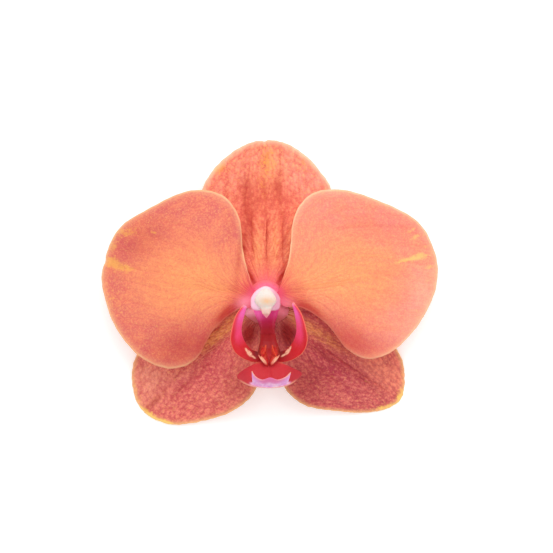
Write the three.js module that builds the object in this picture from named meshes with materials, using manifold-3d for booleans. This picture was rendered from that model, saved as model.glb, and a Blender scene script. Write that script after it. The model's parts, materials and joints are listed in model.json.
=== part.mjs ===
// A picked moth orchid bloom (Phalaenopsis), lying on its back with its face up.
// Millimetres, +Z up. The bloom is drawn round the centre of its column, X to the flower's right as it is looked at,
// Y towards the dorsal sepal and Z towards where the flower faces. It is then set down on the plane Z = 0.
import * as THREE from "three";
import { mergeVertices } from "three/addons/utils/BufferGeometryUtils.js";
import Module from "manifold-3d";

const wasm = await Module();
wasm.setup();

// Driving dimensions
const SEPAL_DROP = 9.6; // how far a sepal's tip lies behind its root
const SEPAL_THICK = 0.8;
const PETAL_THICK = 0.8;
const PETAL_LEVEL = 2.0; // the petals' roots stand in front of the sepals'
const SEAT_GAP = 0.3; // between a piece and what carries it
const FLAT_DEPTH = 0.12; // pressed off the back of each sepal's tip where it rests
const DRUM_RADIUS = 3.4; // the column's round base, which carries sepals and petals
const DRUM_BACK = -2.3;
const SOCKET_FLOOR = 8.0; // the hood's hollow, in which the anther cap sits
const HOOD_FRONT = 9.3;
const FOOT_END = -8.1; // where the column's foot meets the lip
const LIP_MIDLINE = 0.72; // the lip hangs a little to the right of the column
const BLADE_CELLS = 16;

// Outlines, anticlockwise as the flower is looked at
const DORSAL_OUTLINE = [
  [1.7, 2.4], [6.2, 5.2], [12.3, 12.3], [15.9, 20.9], [15.4, 26.8], [11.1, 32.9], [5.7, 37.0], [0.5, 38.2],
  [-4.7, 37.2], [-10.0, 33.8], [-14.2, 28.7], [-16.4, 21.8], [-13.7, 14.2], [-7.6, 6.6], [-2.4, 2.4],
];
const LEFT_LATERAL_OUTLINE = [
  [-1.2, -0.4], [-8.0, -0.2], [-18.0, -3.0], [-27.0, -7.8], [-31.4, -14.4], [-31.9, -20.6], [-29.6, -26.4],
  [-23.6, -29.6], [-16.5, -29.2], [-8.6, -26.8], [-3.0, -22.4], [-1.0, -16.0], [-0.7, -8.5], [-0.5, -3.4],
];
const RIGHT_LATERAL_OUTLINE = [
  [0.6, -3.4], [1.5, -8.5], [2.6, -15.5], [4.6, -21.2], [9.3, -25.1], [16.5, -26.5], [25.5, -26.8],
  [31.6, -24.4], [33.1, -19.6], [32.1, -13.4], [27.0, -7.0], [18.0, -2.8], [8.0, -0.2], [1.3, -0.4],
];
const LEFT_PETAL_OUTLINE = [
  [-2.2, 1.2], [-3.2, 3.6], [-5.2, 10.5], [-6.5, 20.0], [-11.0, 25.2], [-18.5, 25.9], [-27.0, 22.2],
  [-35.0, 16.9], [-38.5, 9.0], [-38.8, 2.5], [-35.6, -6.8], [-29.5, -13.8], [-22.5, -16.3], [-16.6, -14.0],
  [-12.5, -7.2], [-6.8, -2.0], [-3.4, -0.8],
];
const RIGHT_PETAL_OUTLINE = [
  [2.4, 1.4], [3.8, -1.0], [8.6, -1.8], [14.3, -5.6], [19.6, -12.0], [25.2, -14.0], [31.4, -11.2],
  [37.2, -4.4], [40.5, 3.4], [40.3, 10.8], [36.2, 18.5], [27.5, 23.3], [18.0, 26.2], [10.6, 25.1],
  [6.6, 19.6], [5.5, 10.5], [3.5, 3.8],
];
// The lip's outlines are measured from its own midline
const MIDLOBE_OUTLINE = [
  [0.0, -13.6], [-3.0, -14.9], [-5.6, -16.2], [-7.4, -17.6], [-7.2, -18.6], [-5.4, -19.8], [-3.2, -20.4],
  [0.0, -20.7], [3.0, -20.4], [5.2, -19.7], [6.9, -18.4], [7.7, -17.2], [5.5, -16.0], [3.0, -14.9],
];

// Rises smoothly from 0 to 1 as x goes from 0 to 1.
function ease(x) {
  const t = THREE.MathUtils.clamp(x, 0, 1);
  return t * t * (3 - 2 * t);
}

// The solid of a closed geometry.
function solid(geometry) {
  const bare = geometry.clone();
  bare.deleteAttribute("normal");
  bare.deleteAttribute("uv");
  const merged = mergeVertices(bare, 1e-4);
  const mesh = new wasm.Mesh({
    numProp: 3,
    vertProperties: new Float32Array(merged.getAttribute("position").array),
    triVerts: new Uint32Array(merged.index.array),
  });
  return new wasm.Manifold(mesh);
}

// The geometry of a solid.
function geometryOf(made) {
  const mesh = made.getMesh();
  const geometry = new THREE.BufferGeometry();
  geometry.setAttribute("position", new THREE.BufferAttribute(mesh.vertProperties, 3));
  geometry.setIndex(new THREE.BufferAttribute(mesh.triVerts, 1));
  geometry.computeVertexNormals();
  return geometry;
}

// Several solids grown together.
function fused(...solids) {
  return solids.reduce((whole, piece) => whole.add(piece));
}

// A thin blade over a closed outline. A square sheet is bent to a disc, and each of its points then lies on a ray from
// the blade's middle to the margin, at reach 0 in the middle and 1 on the margin. The height makes it a curved sheet,
// and its two faces stand half the thickness to either side.
function blade({ outline, middle, height, thick, cells = BLADE_CELLS, shift = 0 }) {
  const points = outline.map(([x, y]) => new THREE.Vector3(x, y, 0));
  const margin = new THREE.CatmullRomCurve3(points, true, "catmullrom", 0.5);
  const sheet = new THREE.PlaneGeometry(2, 2, cells, cells);
  const place = sheet.getAttribute("position");
  for (let i = 0; i < place.count; i++) {
    const a = place.getX(i);
    const b = place.getY(i);
    const u = a * Math.sqrt(1 - (b * b) / 2);
    const v = b * Math.sqrt(1 - (a * a) / 2);
    const reach = Math.min(1, Math.hypot(u, v));
    const turn = (Math.atan2(v, u) / (2 * Math.PI) + 1) % 1;
    const edge = margin.getPoint(turn);
    const x = THREE.MathUtils.lerp(middle[0], edge.x, reach);
    const y = THREE.MathUtils.lerp(middle[1], edge.y, reach);
    place.setXYZ(i, x + shift, y, height(x, y, reach, turn));
  }
  sheet.computeVertexNormals();
  return solid(thickened(sheet, thick, cells));
}

// A closed geometry from a square sheet: its front, its back and a rim between them.
function thickened(sheet, thick, cells) {
  const place = sheet.getAttribute("position");
  const normal = sheet.getAttribute("normal");
  const faces = [...sheet.index.array];
  const corners = [];
  for (const side of [1, -1]) {
    for (let i = 0; i < place.count; i++) {
      corners.push(place.getX(i) + (side * thick * normal.getX(i)) / 2);
      corners.push(place.getY(i) + (side * thick * normal.getY(i)) / 2);
      corners.push(place.getZ(i) + (side * thick * normal.getZ(i)) / 2);
    }
  }
  for (let i = 0; i < sheet.index.count; i += 3) {
    const [p, q, r] = [0, 1, 2].map((k) => sheet.index.array[i + k] + place.count);
    faces.push(p, r, q);
  }
  const rim = rimOf(cells);
  rim.forEach((from, k) => {
    const to = rim[(k + 1) % rim.length];
    faces.push(from, from + place.count, to, to, from + place.count, to + place.count);
  });
  const closed = new THREE.BufferGeometry();
  closed.setAttribute("position", new THREE.Float32BufferAttribute(corners, 3));
  closed.setIndex(faces);
  return closed;
}

// The indices round a square sheet's edge, anticlockwise seen from its front.
function rimOf(cells) {
  const row = cells + 1;
  const last = row * row - 1;
  const rim = [];
  for (let i = 0; i < cells; i++) rim.push(last - cells + i);
  for (let i = 0; i < cells; i++) rim.push(last - i * row);
  for (let i = 0; i < cells; i++) rim.push(cells - i);
  for (let i = 0; i < cells; i++) rim.push(i * row);
  return rim;
}

// A closed solid through a run of rings, each a list of points, with its first and last ring covered.
function loft(rings) {
  const sides = rings[0].length;
  const corners = rings.flat();
  const faces = [];
  for (let k = 0; k + 1 < rings.length; k++) {
    for (let i = 0; i < sides; i++) {
      const a = k * sides + i;
      const b = k * sides + ((i + 1) % sides);
      faces.push(a, b, b + sides, a, b + sides, a + sides);
    }
  }
  for (const [ring, flip] of [[0, true], [rings.length - 1, false]]) {
    const hub = corners.length;
    const centre = new THREE.Vector3();
    rings[ring].forEach((p) => centre.addScaledVector(p, 1 / sides));
    corners.push(centre);
    for (let i = 0; i < sides; i++) {
      const a = ring * sides + i;
      const b = ring * sides + ((i + 1) % sides);
      if (flip) faces.push(hub, b, a);
      else faces.push(hub, a, b);
    }
  }
  const closed = new THREE.BufferGeometry().setFromPoints(corners);
  closed.setIndex(faces);
  return solid(closed);
}

// An ellipsoid about a centre.
function bead(centre, radii, around = 20, down = 12) {
  const ball = new THREE.SphereGeometry(1, around, down);
  ball.scale(...radii);
  ball.translate(...centre);
  return solid(ball);
}

// A block between two corners.
function block(low, high) {
  const box = new THREE.BoxGeometry(high[0] - low[0], high[1] - low[1], high[2] - low[2]);
  box.translate((low[0] + high[0]) / 2, (low[1] + high[1]) / 2, (low[2] + high[2]) / 2);
  return solid(box);
}

// The height of a sepal or petal over its outline. It leaves its root level, rises a little, arches back to its tip and
// lies level again there. Its sides droop, its midrib is sunk, its margin waves, and one side may roll back.
function arch({ root, tip, level, lift, drop, droop, halfWidth, ruffle, waves, roll = 0, rollSide = 1 }) {
  const base = new THREE.Vector2(...root);
  const axis = new THREE.Vector2(...tip).sub(base);
  const length = axis.length();
  axis.normalize();
  return (x, y, reach, turn) => {
    const out = new THREE.Vector2(x, y).sub(base);
    const along = out.dot(axis) / length;
    const side = axis.cross(out) / halfWidth;
    const rise = lift * along * (1 - along) ** 2;
    const hang = droop * side * side * (1 - ease(along) ** 2);
    const midrib = 0.35 * Math.exp(-((side * halfWidth) ** 2)) * ease(4 * along) * (1 - ease(along));
    const wave = ruffle * reach ** 5 * Math.sin(2 * Math.PI * waves * turn) * ease(2.5 * along);
    const rolled = roll * reach ** 6 * ease(2.5 * rollSide * side) * ease(4 * along) * (1 - ease(1.6 * along));
    return level + rise - drop * ease(along) - hang - midrib + wave * (1 - ease(along)) - rolled;
  };
}

// Sepals: the outer three, which arch back and carry the bloom on their tips
const SEPALS = {
  sepal_dorsal: {
    outline: DORSAL_OUTLINE, middle: [0, 20], root: [0, 1], tip: [0, 38.2], droop: 2.6, halfWidth: 16, waves: 3,
  },
  sepal_lateral_left: {
    outline: LEFT_LATERAL_OUTLINE, middle: [-17, -15], root: [-0.8, -1.6], tip: [-28.6, -27.4], droop: 1.6,
    halfWidth: 14, waves: 3,
  },
  sepal_lateral_right: {
    outline: RIGHT_LATERAL_OUTLINE, middle: [18, -15], root: [0.8, -1.6], tip: [31.6, -23.6], droop: 1.6,
    halfWidth: 14, waves: 4,
  },
};

// Petals: the broad inner two, in front of the sepals
const PETALS = {
  petal_left: {
    outline: LEFT_PETAL_OUTLINE, middle: [-20, 6], root: [-1.5, 1], tip: [-39, 5], rollSide: 1, waves: 4,
  },
  petal_right: {
    outline: RIGHT_PETAL_OUTLINE, middle: [21, 6], root: [1.5, 1], tip: [40.8, 7], rollSide: -1, waves: 4,
  },
};

function sepal(shape) {
  return blade({
    ...shape,
    thick: SEPAL_THICK,
    height: arch({ level: 0, lift: 4, drop: SEPAL_DROP, ruffle: 0.5, ...shape }),
  });
}

function petal(shape) {
  return blade({
    ...shape,
    thick: PETAL_THICK,
    height: arch({ level: PETAL_LEVEL, lift: 9, drop: 4, droop: 2.6, halfWidth: 21, ruffle: 0.6, roll: 1.2, ...shape }),
  });
}

// The drum that the roots of sepals and petals butt against, with the gap that they keep.
const seat = loft(
  [DRUM_BACK - 2, 3.6].map((z) => ringXY(z, { a: DRUM_RADIUS + SEAT_GAP, b: DRUM_RADIUS + SEAT_GAP, c: DRUM_RADIUS + SEAT_GAP })),
);
const TABLE = -SEPAL_DROP - SEPAL_THICK / 2 + FLAT_DEPTH;
const belowTable = block([-60, -60, TABLE - 20], [60, 60, TABLE]);

// A ring across the column: round above, and rounder or squarer below as the corner power says.
function ringXY(z, { a, b, c, corner = 1, sides = 24, yShift = 0 }) {
  const ring = [];
  for (let i = 0; i < sides; i++) {
    const turn = (2 * Math.PI * i) / sides;
    const across = Math.cos(turn);
    const up = Math.sin(turn);
    const power = up < 0 ? corner : 1;
    const x = a * Math.sign(across) * Math.abs(across) ** power;
    const y = (up < 0 ? -c : b) * Math.abs(up) ** power;
    ring.push(new THREE.Vector3(x, y + yShift, z));
  }
  return ring;
}

// How far the foot and the lip have swung to the right at a given Y.
function lean(y) {
  return LIP_MIDLINE * ease((-1 - y) / 12);
}

// A ring across the foot or the lip's claw, in a plane of constant Y.
function ringXZ(y, { wide, middle, half, hollow = 0, sides = 20, xShift = 0 }) {
  const ring = [];
  for (let i = 0; i < sides; i++) {
    const turn = (2 * Math.PI * i) / sides;
    const across = Math.cos(turn);
    const up = Math.sin(turn);
    const dip = up > 0 ? hollow * Math.exp(-((across / 0.45) ** 2)) : 0;
    ring.push(new THREE.Vector3(xShift + wide * across, y, middle + half * up - dip));
  }
  return ring;
}

// Column: the drum, the hooded shaft and the foot that reaches down to the lip, grown as one
function column() {
  const shaft = [
    [DRUM_BACK, { a: 2.7, b: 2.7, c: 2.7 }],
    [-1.6, { a: DRUM_RADIUS, b: DRUM_RADIUS, c: DRUM_RADIUS }],
    [2.6, { a: DRUM_RADIUS, b: DRUM_RADIUS, c: DRUM_RADIUS }],
    [4.2, { a: 2.9, b: 2.8, c: 2.9, corner: 0.85 }],
    [6.2, { a: 3.0, b: 2.9, c: 2.4, corner: 0.65 }],
    [7.7, { a: 3.5, b: 3.3, c: 2.25, corner: 0.5 }],
    [8.6, { a: 3.5, b: 3.25, c: 2.25, corner: 0.5 }],
    [HOOD_FRONT, { a: 3.3, b: 3.05, c: 2.1, corner: 0.5 }],
  ].map(([z, shape]) => ringXY(z, shape));
  const foot = [
    [0.5, { wide: 2.4, middle: 4.0, half: 2.8 }],
    [-2.0, { wide: 3.1, middle: 4.3, half: 3.0 }],
    [-3.8, { wide: 2.6, middle: 3.6, half: 2.6, hollow: 0.9 }],
    [-5.4, { wide: 2.0, middle: 3.0, half: 2.0, hollow: 0.6 }],
    [-6.9, { wide: 1.75, middle: 2.6, half: 1.5, hollow: 0.3 }],
    [FOOT_END, { wide: 1.85, middle: 2.5, half: 1.2, hollow: 0.2 }],
  ].map(([y, shape]) => ringXZ(y, { ...shape, xShift: lean(y) }));
  const socket = loft([SOCKET_FLOOR, HOOD_FRONT + 1].map((z) => ringXY(z, { a: 2.7, b: 2.55, c: 2.0, yShift: 0.1 })));
  const beakNotch = block([-1.75, -5, SOCKET_FLOOR], [1.75, 0, HOOD_FRONT + 1]);
  return fused(loft(shaft), loft(foot)).subtract(fused(socket, beakNotch));
}

// Pedicel: the picked stalk, six-ribbed where it is the ovary, which leaves the back and bends down behind the lip
function pedicel() {
  const path = new THREE.CatmullRomCurve3([
    new THREE.Vector3(0, 0, DRUM_BACK - SEAT_GAP),
    new THREE.Vector3(0, -0.3, -4.0),
    new THREE.Vector3(0, -2.4, -6.3),
    new THREE.Vector3(0, -6.6, -7.5),
    new THREE.Vector3(0, -12.0, -8.0),
    new THREE.Vector3(0, -17.4, -8.15),
  ]);
  const steps = 16;
  const sides = 18;
  const rings = [];
  for (let k = 0; k <= steps; k++) {
    const t = k / steps;
    const centre = path.getPoint(t);
    const tangent = k === 0 ? new THREE.Vector3(0, 0, -1) : path.getTangent(t);
    const across = new THREE.Vector3(1, 0, 0);
    const up = new THREE.Vector3().crossVectors(across, tangent).normalize();
    const radius = 1.4 + 1.25 * (1 - ease(3.2 * t)) + 0.12 * ease(6 * t - 5);
    const ring = [];
    for (let i = 0; i < sides; i++) {
      const turn = (2 * Math.PI * i) / sides;
      const rib = 1 + 0.05 * Math.cos(6 * turn) * (1 - ease(1.3 * t));
      ring.push(
        centre.clone()
          .addScaledVector(across, -radius * rib * Math.cos(turn))
          .addScaledVector(up, radius * rib * Math.sin(turn)),
      );
    }
    rings.push(ring);
  }
  return loft(rings);
}

// Lip: claw, saddle, two side lobes, callus and a midlobe with a turned-up apron, grown as one
function lip() {
  const claw = [
    [FOOT_END - SEAT_GAP, { wide: 1.9, middle: 2.5, half: 1.1, hollow: 0.2 }],
    [-9.8, { wide: 2.0, middle: 2.7, half: 1.0, hollow: 0.4 }],
    [-11.4, { wide: 2.5, middle: 3.4, half: 1.0, hollow: 0.5 }],
    [-13.0, { wide: 2.9, middle: 4.4, half: 1.0, hollow: 0.4 }],
    [-14.6, { wide: 2.8, middle: 5.4, half: 0.8 }],
    [-15.6, { wide: 2.2, middle: 6.1, half: 0.5 }],
  ].map(([y, shape]) => ringXZ(y, { ...shape, xShift: lean(y) }));
  return fused(
    loft(claw),
    midlobe(),
    apron(),
    sideLobe({ side: -1, tipRise: 0 }),
    sideLobe({ side: 1, tipRise: 0.6 }),
    ...[-1, 1].map(callusHalf),
  );
}

// The height of the midlobe: it slopes forward from the callus, its wings lift and its midline is grooved.
function midlobeHeight(x, y) {
  const down = -14.0 - y;
  const groove = 0.3 * Math.exp(-((x / 0.5) ** 2));
  return 5.4 + 0.8 * down + 0.03 * x * x - groove;
}

function midlobe() {
  return blade({
    outline: MIDLOBE_OUTLINE, middle: [0, -17.8], thick: 0.8, cells: 12, shift: LIP_MIDLINE, height: midlobeHeight,
  });
}

// The apron: the midlobe's apex, folded up in front of it, with a scalloped edge and a horn at either side.
function apron() {
  const edge = [
    [-4.1, -16.5, 12.6], [-3.2, -17.9, 12.4], [-1.6, -18.7, 12.3], [0.3, -18.2, 12.5], [2.1, -18.7, 12.3],
    [4.0, -18.0, 12.4], [5.2, -16.8, 12.6],
  ];
  const fold = [
    [-3.9, -19.6, 10.6], [-2.6, -20.1, 10.5], [-1.2, -20.3, 10.4], [0.0, -20.4, 10.4], [1.4, -20.3, 10.4],
    [3.0, -20.1, 10.5], [4.5, -19.5, 10.6],
  ];
  return ribbon({ front: edge, back: fold, thick: 0.8, belly: -0.1, sides: 10 });
}

// A side lobe: a fleshy sickle between an outer margin, which stands forward, and an inner one by the column.
function sideLobe({ side, tipRise }) {
  const outer = [
    [1.6, -14.9, 5.6], [4.8, -14.4, 7.2], [7.8, -12.6, 8.9], [9.05, -9.7, 9.9], [8.6, -6.4, 10.3],
    [7.5, -3.4, 10.1], [5.75, -1.1, 9.6],
  ];
  const inner = [
    [1.6, -12.4, 4.4], [4.0, -11.7, 4.9], [5.6, -9.9, 5.7], [6.4, -7.7, 6.7], [6.4, -5.7, 7.7],
    [6.0, -3.5, 8.6], [5.5, -1.5, 9.3],
  ];
  const swung = (rail) => rail.map(([x, y, z], k) => [side * x, y + tipRise * ease(k / 3 - 1), z]);
  return ribbon({ front: swung(outer), back: swung(inner), thick: 0.9, belly: 0.2 * side, sides: 12 });
}

// A fleshy strip between two rails, measured from the lip's midline. Its belly stands out of the plane between them by
// a share of its width.
function ribbon({ front, back, thick, belly, sides, steps = 15 }) {
  const rail = (points) =>
    new THREE.CatmullRomCurve3(points.map(([x, y, z]) => new THREE.Vector3(LIP_MIDLINE + x, y, z)));
  const fore = rail(front);
  const aft = rail(back);
  const rings = [];
  for (let k = 0; k <= steps; k++) {
    const s = k / steps;
    const centre = fore.getPoint(s).lerp(aft.getPoint(s), 0.5);
    const chord = fore.getPoint(s).sub(centre);
    const along = fore.getTangent(s).add(aft.getTangent(s));
    const normal = new THREE.Vector3().crossVectors(along, chord).normalize();
    const ring = [];
    for (let i = 0; i < sides; i++) {
      const turn = (2 * Math.PI * i) / sides;
      const across = Math.cos(turn);
      const out = belly * chord.length() * (1 - across * across) + (thick / 2) * Math.sin(turn);
      ring.push(centre.clone().addScaledVector(chord, across).addScaledVector(normal, out));
    }
    rings.push(ring);
  }
  return loft(rings);
}

// Half of the callus: a plump ridge beside the groove, which ends in a small point over the midlobe.
function callusHalf(side) {
  const path = new THREE.CatmullRomCurve3([
    new THREE.Vector3(LIP_MIDLINE + side * 1.5, -11.2, 4.0),
    new THREE.Vector3(LIP_MIDLINE + side * 1.5, -12.4, 5.4),
    new THREE.Vector3(LIP_MIDLINE + side * 1.15, -13.8, 6.6),
    new THREE.Vector3(LIP_MIDLINE + side * 0.7, -14.9, 7.3),
    new THREE.Vector3(LIP_MIDLINE + side * 0.45, -15.6, 7.5),
  ]);
  const steps = 8;
  const sides = 10;
  const rings = [];
  for (let k = 0; k <= steps; k++) {
    const t = k / steps;
    const centre = path.getPoint(t);
    const size = 0.25 + 0.65 * Math.sin(Math.PI * Math.min(1, 0.15 + 0.85 * t)) ** 0.8;
    const ring = [];
    for (let i = 0; i < sides; i++) {
      const turn = (2 * Math.PI * i) / sides;
      ring.push(new THREE.Vector3(size * Math.cos(turn), 0, 1.15 * size * Math.sin(turn)).add(centre));
    }
    rings.push(ring);
  }
  return loft(rings);
}

// Anther cap: a thin dome in the hood's hollow, with a beak over the pollinarium's strap
function antherCap() {
  const back = SOCKET_FLOOR + SEAT_GAP;
  const beak = [
    [0.0, { wide: 2.0, middle: 9.2, half: 1.0 }],
    [-1.3, { wide: 1.45, middle: 9.3, half: 0.8 }],
    [-2.3, { wide: 1.1, middle: 9.3, half: 0.5 }],
    [-2.8, { wide: 0.9, middle: 9.25, half: 0.35 }],
  ].map(([y, shape]) => ringXZ(y, { ...shape, sides: 14 }));
  const hollow = fused(bead([0, 0.4, back], [1.8, 1.65, 1.6]), block([-0.6, -3.4, back - 1], [0.6, 0.4, 9.0]));
  const behind = block([-5, -6, back - 4], [5, 6, back]);
  return fused(bead([0, 0.4, back], [2.35, 2.2, 2.2]), loft(beak)).subtract(hollow).subtract(behind);
}

// Pollinarium: two waxy pollinia on a strap, which ends in the sticky lozenge below the beak
function pollinarium() {
  const strap = block([-0.28, -2.7, 8.4], [0.28, 1.1, 8.7]);
  const halves = [-1, 1].map((side) => bead([side * 0.62, 0.75, 8.95], [0.58, 0.8, 0.5], 14, 10));
  const lozenge = loft([
    [-2.4, 0.35, 0.14], [-2.95, 1.05, 0.2], [-3.5, 0.62, 0.2], [-4.2, 0.08, 0.08],
  ].map(([y, wide, half]) => ringXZ(y, { wide, middle: 8.58, half, sides: 12 })));
  return fused(strap, ...halves, lozenge);
}

// Colours of the fresh bloom
const CORAL = { color: 0xf08562, roughness: 0.5, metalness: 0 };
const BRICK = { color: 0xdd6a55, roughness: 0.5, metalness: 0 };
const CRIMSON = { color: 0xc4222f, roughness: 0.35, metalness: 0 };
const MAGENTA = { color: 0xc93a86, roughness: 0.4, metalness: 0 };
const CREAM = { color: 0xfaeedd, roughness: 0.4, metalness: 0 };
const WAX_YELLOW = { color: 0xf3d27c, roughness: 0.35, metalness: 0 };
const STALK_GREEN = { color: 0xb9a86a, roughness: 0.5, metalness: 0 };

const bloom = new THREE.Group();

function add(name, made, finish) {
  const mesh = new THREE.Mesh(geometryOf(made), new THREE.MeshStandardMaterial(finish));
  mesh.name = name;
  bloom.add(mesh);
}

for (const [name, shape] of Object.entries(SEPALS)) add(name, sepal(shape).subtract(seat).subtract(belowTable), BRICK);
for (const [name, shape] of Object.entries(PETALS)) add(name, petal(shape).subtract(seat), CORAL);
add("column", column(), MAGENTA);
add("lip", lip(), CRIMSON);
add("anther_cap", antherCap(), CREAM);
add("pollinarium", pollinarium(), WAX_YELLOW);
add("pedicel", pedicel(), STALK_GREEN);

// Set the bloom down on Z = 0, centred over the origin
const extent = new THREE.Box3().setFromObject(bloom);
const centre = extent.getCenter(new THREE.Vector3());
bloom.position.set(-centre.x, -centre.y, -extent.min.z);

const part = new THREE.Group();
part.add(bloom);

export default part;
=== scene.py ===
import json
import math

import bpy
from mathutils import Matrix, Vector
from mathutils.bvhtree import BVHTree

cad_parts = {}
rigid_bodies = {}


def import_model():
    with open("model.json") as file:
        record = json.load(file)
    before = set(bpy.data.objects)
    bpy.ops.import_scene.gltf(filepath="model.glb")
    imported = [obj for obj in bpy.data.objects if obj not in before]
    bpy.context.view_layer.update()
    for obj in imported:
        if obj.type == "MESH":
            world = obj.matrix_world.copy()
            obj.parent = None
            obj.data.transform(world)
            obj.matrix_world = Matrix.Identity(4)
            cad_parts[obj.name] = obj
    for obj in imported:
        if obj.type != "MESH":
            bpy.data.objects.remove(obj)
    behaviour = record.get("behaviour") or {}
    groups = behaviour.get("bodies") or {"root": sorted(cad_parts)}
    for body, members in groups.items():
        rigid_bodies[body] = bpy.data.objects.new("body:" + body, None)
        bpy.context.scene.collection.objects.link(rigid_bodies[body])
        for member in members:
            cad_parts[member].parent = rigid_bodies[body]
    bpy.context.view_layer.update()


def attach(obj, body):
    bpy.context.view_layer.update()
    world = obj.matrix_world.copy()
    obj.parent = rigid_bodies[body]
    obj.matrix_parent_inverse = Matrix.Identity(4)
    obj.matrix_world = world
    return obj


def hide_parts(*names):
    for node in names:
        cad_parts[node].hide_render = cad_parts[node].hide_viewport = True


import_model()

# The bloom is drawn in millimetres round the axis of its column: X to the right as the flower is looked at,
# Y towards the dorsal sepal, Z towards where it faces. Its shapes are those of the frame's solids, drawn
# finer.
MM = 0.001
ROOT_AT = Vector((-0.897, -4.187, 9.88))  # where the sepals' roots meet that axis, in the frame

# Driving sizes, in millimetres
SEPAL_DROP = 9.6
SEPAL_THICK = 0.8
PETAL_THICK = 0.8
PETAL_LEVEL = 2.0
DRUM_RADIUS = 3.4
DRUM_BACK = -2.3
HOOD_FRONT = 9.3
FOOT_END = -8.1
LIP_MIDLINE = 0.72
VEIN_FAN = 1.45
VEIN_DEPTH = 0.1
MIDRIB_DEPTH = 0.35
PUCKER_HEIGHT = 0.5
RIM_SHARE = 0.35  # a blade's thickness at its rim, as a share of that in its middle
LOBE_THICK = 0.85
APRON_THICK = 0.6
MARK_REACH = 0.45  # how far each part of the lip colours the flesh round it
TISSUE_CELL = 0.25  # real cells are about 0.05 mm wide; both kinds are drawn coarse enough to show
FLESH_CELL = 0.22
LIP_VOXEL = 0.1
COLUMN_VOXEL = 0.13
CAP_VOXEL = 0.1
POLLEN_VOXEL = 0.07

# Numbers of cells, steps and sides
BLADE_CELLS = 136
MIDLOBE_CELLS = 44
RIBBON_STEPS = 60
RIDGE_STEPS = 24
RIDGE_SIDES = 20
FOOT_SIDES = 28
SHAFT_SIDES = 64

# Veins, on a blade laid out as the unit disc: they fan out from just outside its root and bend in towards a
# place past its tip, and the tip is so far from where they start
VEIN_START = 1.03
VEIN_GOAL = 2.2
VEIN_LENGTH = 2.03

# The view, whose pixels are millimetres of the bloom wide, and the studio, in metres
VIEW_PIXELS = 553
PIXEL = 0.2374
VIEW_CENTRE = (2.49, 5.58, 0)
CAMERA_AWAY = 1.6
FACE_LEVEL = 0.008
TABLE_HALF = 2
TABLE_GLOW = 0.28
SKY_STRENGTH = 0.86
LAMP_POWER = 6.5
LAMP_WIDTH = 1.0
LAMP_AT = (0.12, 0.75, 0.85)

# Outlines, anticlockwise as the flower is looked at
DORSAL_OUTLINE = (
    (1.7, 2.4), (6.2, 5.2), (12.3, 12.3), (15.9, 20.9), (15.4, 26.8), (11.1, 32.9), (5.7, 37.0), (0.5, 38.2),
    (-4.7, 37.2), (-10.0, 33.8), (-14.2, 28.7), (-16.4, 21.8), (-13.7, 14.2), (-7.6, 6.6), (-2.4, 2.4),
)
LEFT_LATERAL_OUTLINE = (
    (-1.2, -0.4), (-8.0, -0.2), (-18.0, -3.0), (-27.0, -7.8), (-31.4, -14.4), (-31.9, -20.6), (-29.6, -26.4),
    (-23.6, -29.6), (-16.5, -29.2), (-8.6, -26.8), (-3.0, -22.4), (-1.0, -16.0), (-0.7, -8.5), (-0.5, -3.4),
)
RIGHT_LATERAL_OUTLINE = (
    (0.6, -3.4), (1.5, -8.5), (2.6, -15.5), (4.6, -21.2), (9.3, -25.1), (16.5, -26.5), (25.5, -26.8),
    (31.6, -24.4), (33.1, -19.6), (32.1, -13.4), (27.0, -7.0), (18.0, -2.8), (8.0, -0.2), (1.3, -0.4),
)
LEFT_PETAL_OUTLINE = (
    (-2.2, 1.2), (-3.2, 3.6), (-5.2, 10.5), (-6.5, 20.0), (-11.0, 25.2), (-18.5, 25.9), (-27.0, 22.2),
    (-35.0, 16.9), (-38.5, 9.0), (-38.8, 2.5), (-35.6, -6.8), (-29.5, -13.8), (-22.5, -16.3), (-16.6, -14.0),
    (-12.5, -7.2), (-6.9, -2.3), (-3.6, -1.7),
)
RIGHT_PETAL_OUTLINE = (
    (2.6, 0.9), (4.2, -1.5), (8.7, -1.9), (14.3, -5.6), (19.6, -12.0), (25.2, -14.0), (31.4, -11.2),
    (37.2, -4.4), (40.5, 3.4), (40.3, 10.8), (36.2, 18.5), (27.5, 23.3), (18.0, 26.2), (10.6, 25.1),
    (6.6, 19.6), (5.5, 10.5), (3.5, 3.8),
)
MIDLOBE_OUTLINE = (
    (0.0, -13.6), (-3.0, -14.9), (-5.6, -16.2), (-7.4, -17.6), (-7.2, -18.6), (-5.4, -19.8), (-3.2, -20.4),
    (0.0, -20.7), (3.0, -20.4), (5.2, -19.7), (6.9, -18.4), (7.7, -17.2), (5.5, -16.0), (3.0, -14.9),
)


def placed(point):
    """A point of the bloom, in millimetres, as metres in the frame."""
    return (Vector(point) + ROOT_AT) * MM


def ease(x):
    """Rises smoothly from 0 to 1 as x goes from 0 to 1."""
    t = min(1.0, max(0.0, x))
    return t * t * (3 - 2 * t)


def mix(a, b, t):
    return a + (b - a) * t


def bell(x):
    return math.exp(-x * x)


def circle(sides):
    """Directions round a circle, each as its cosine and sine."""
    turns = [2 * math.pi * i / sides for i in range(sides)]
    return [(math.cos(turn), math.sin(turn)) for turn in turns]


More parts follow.
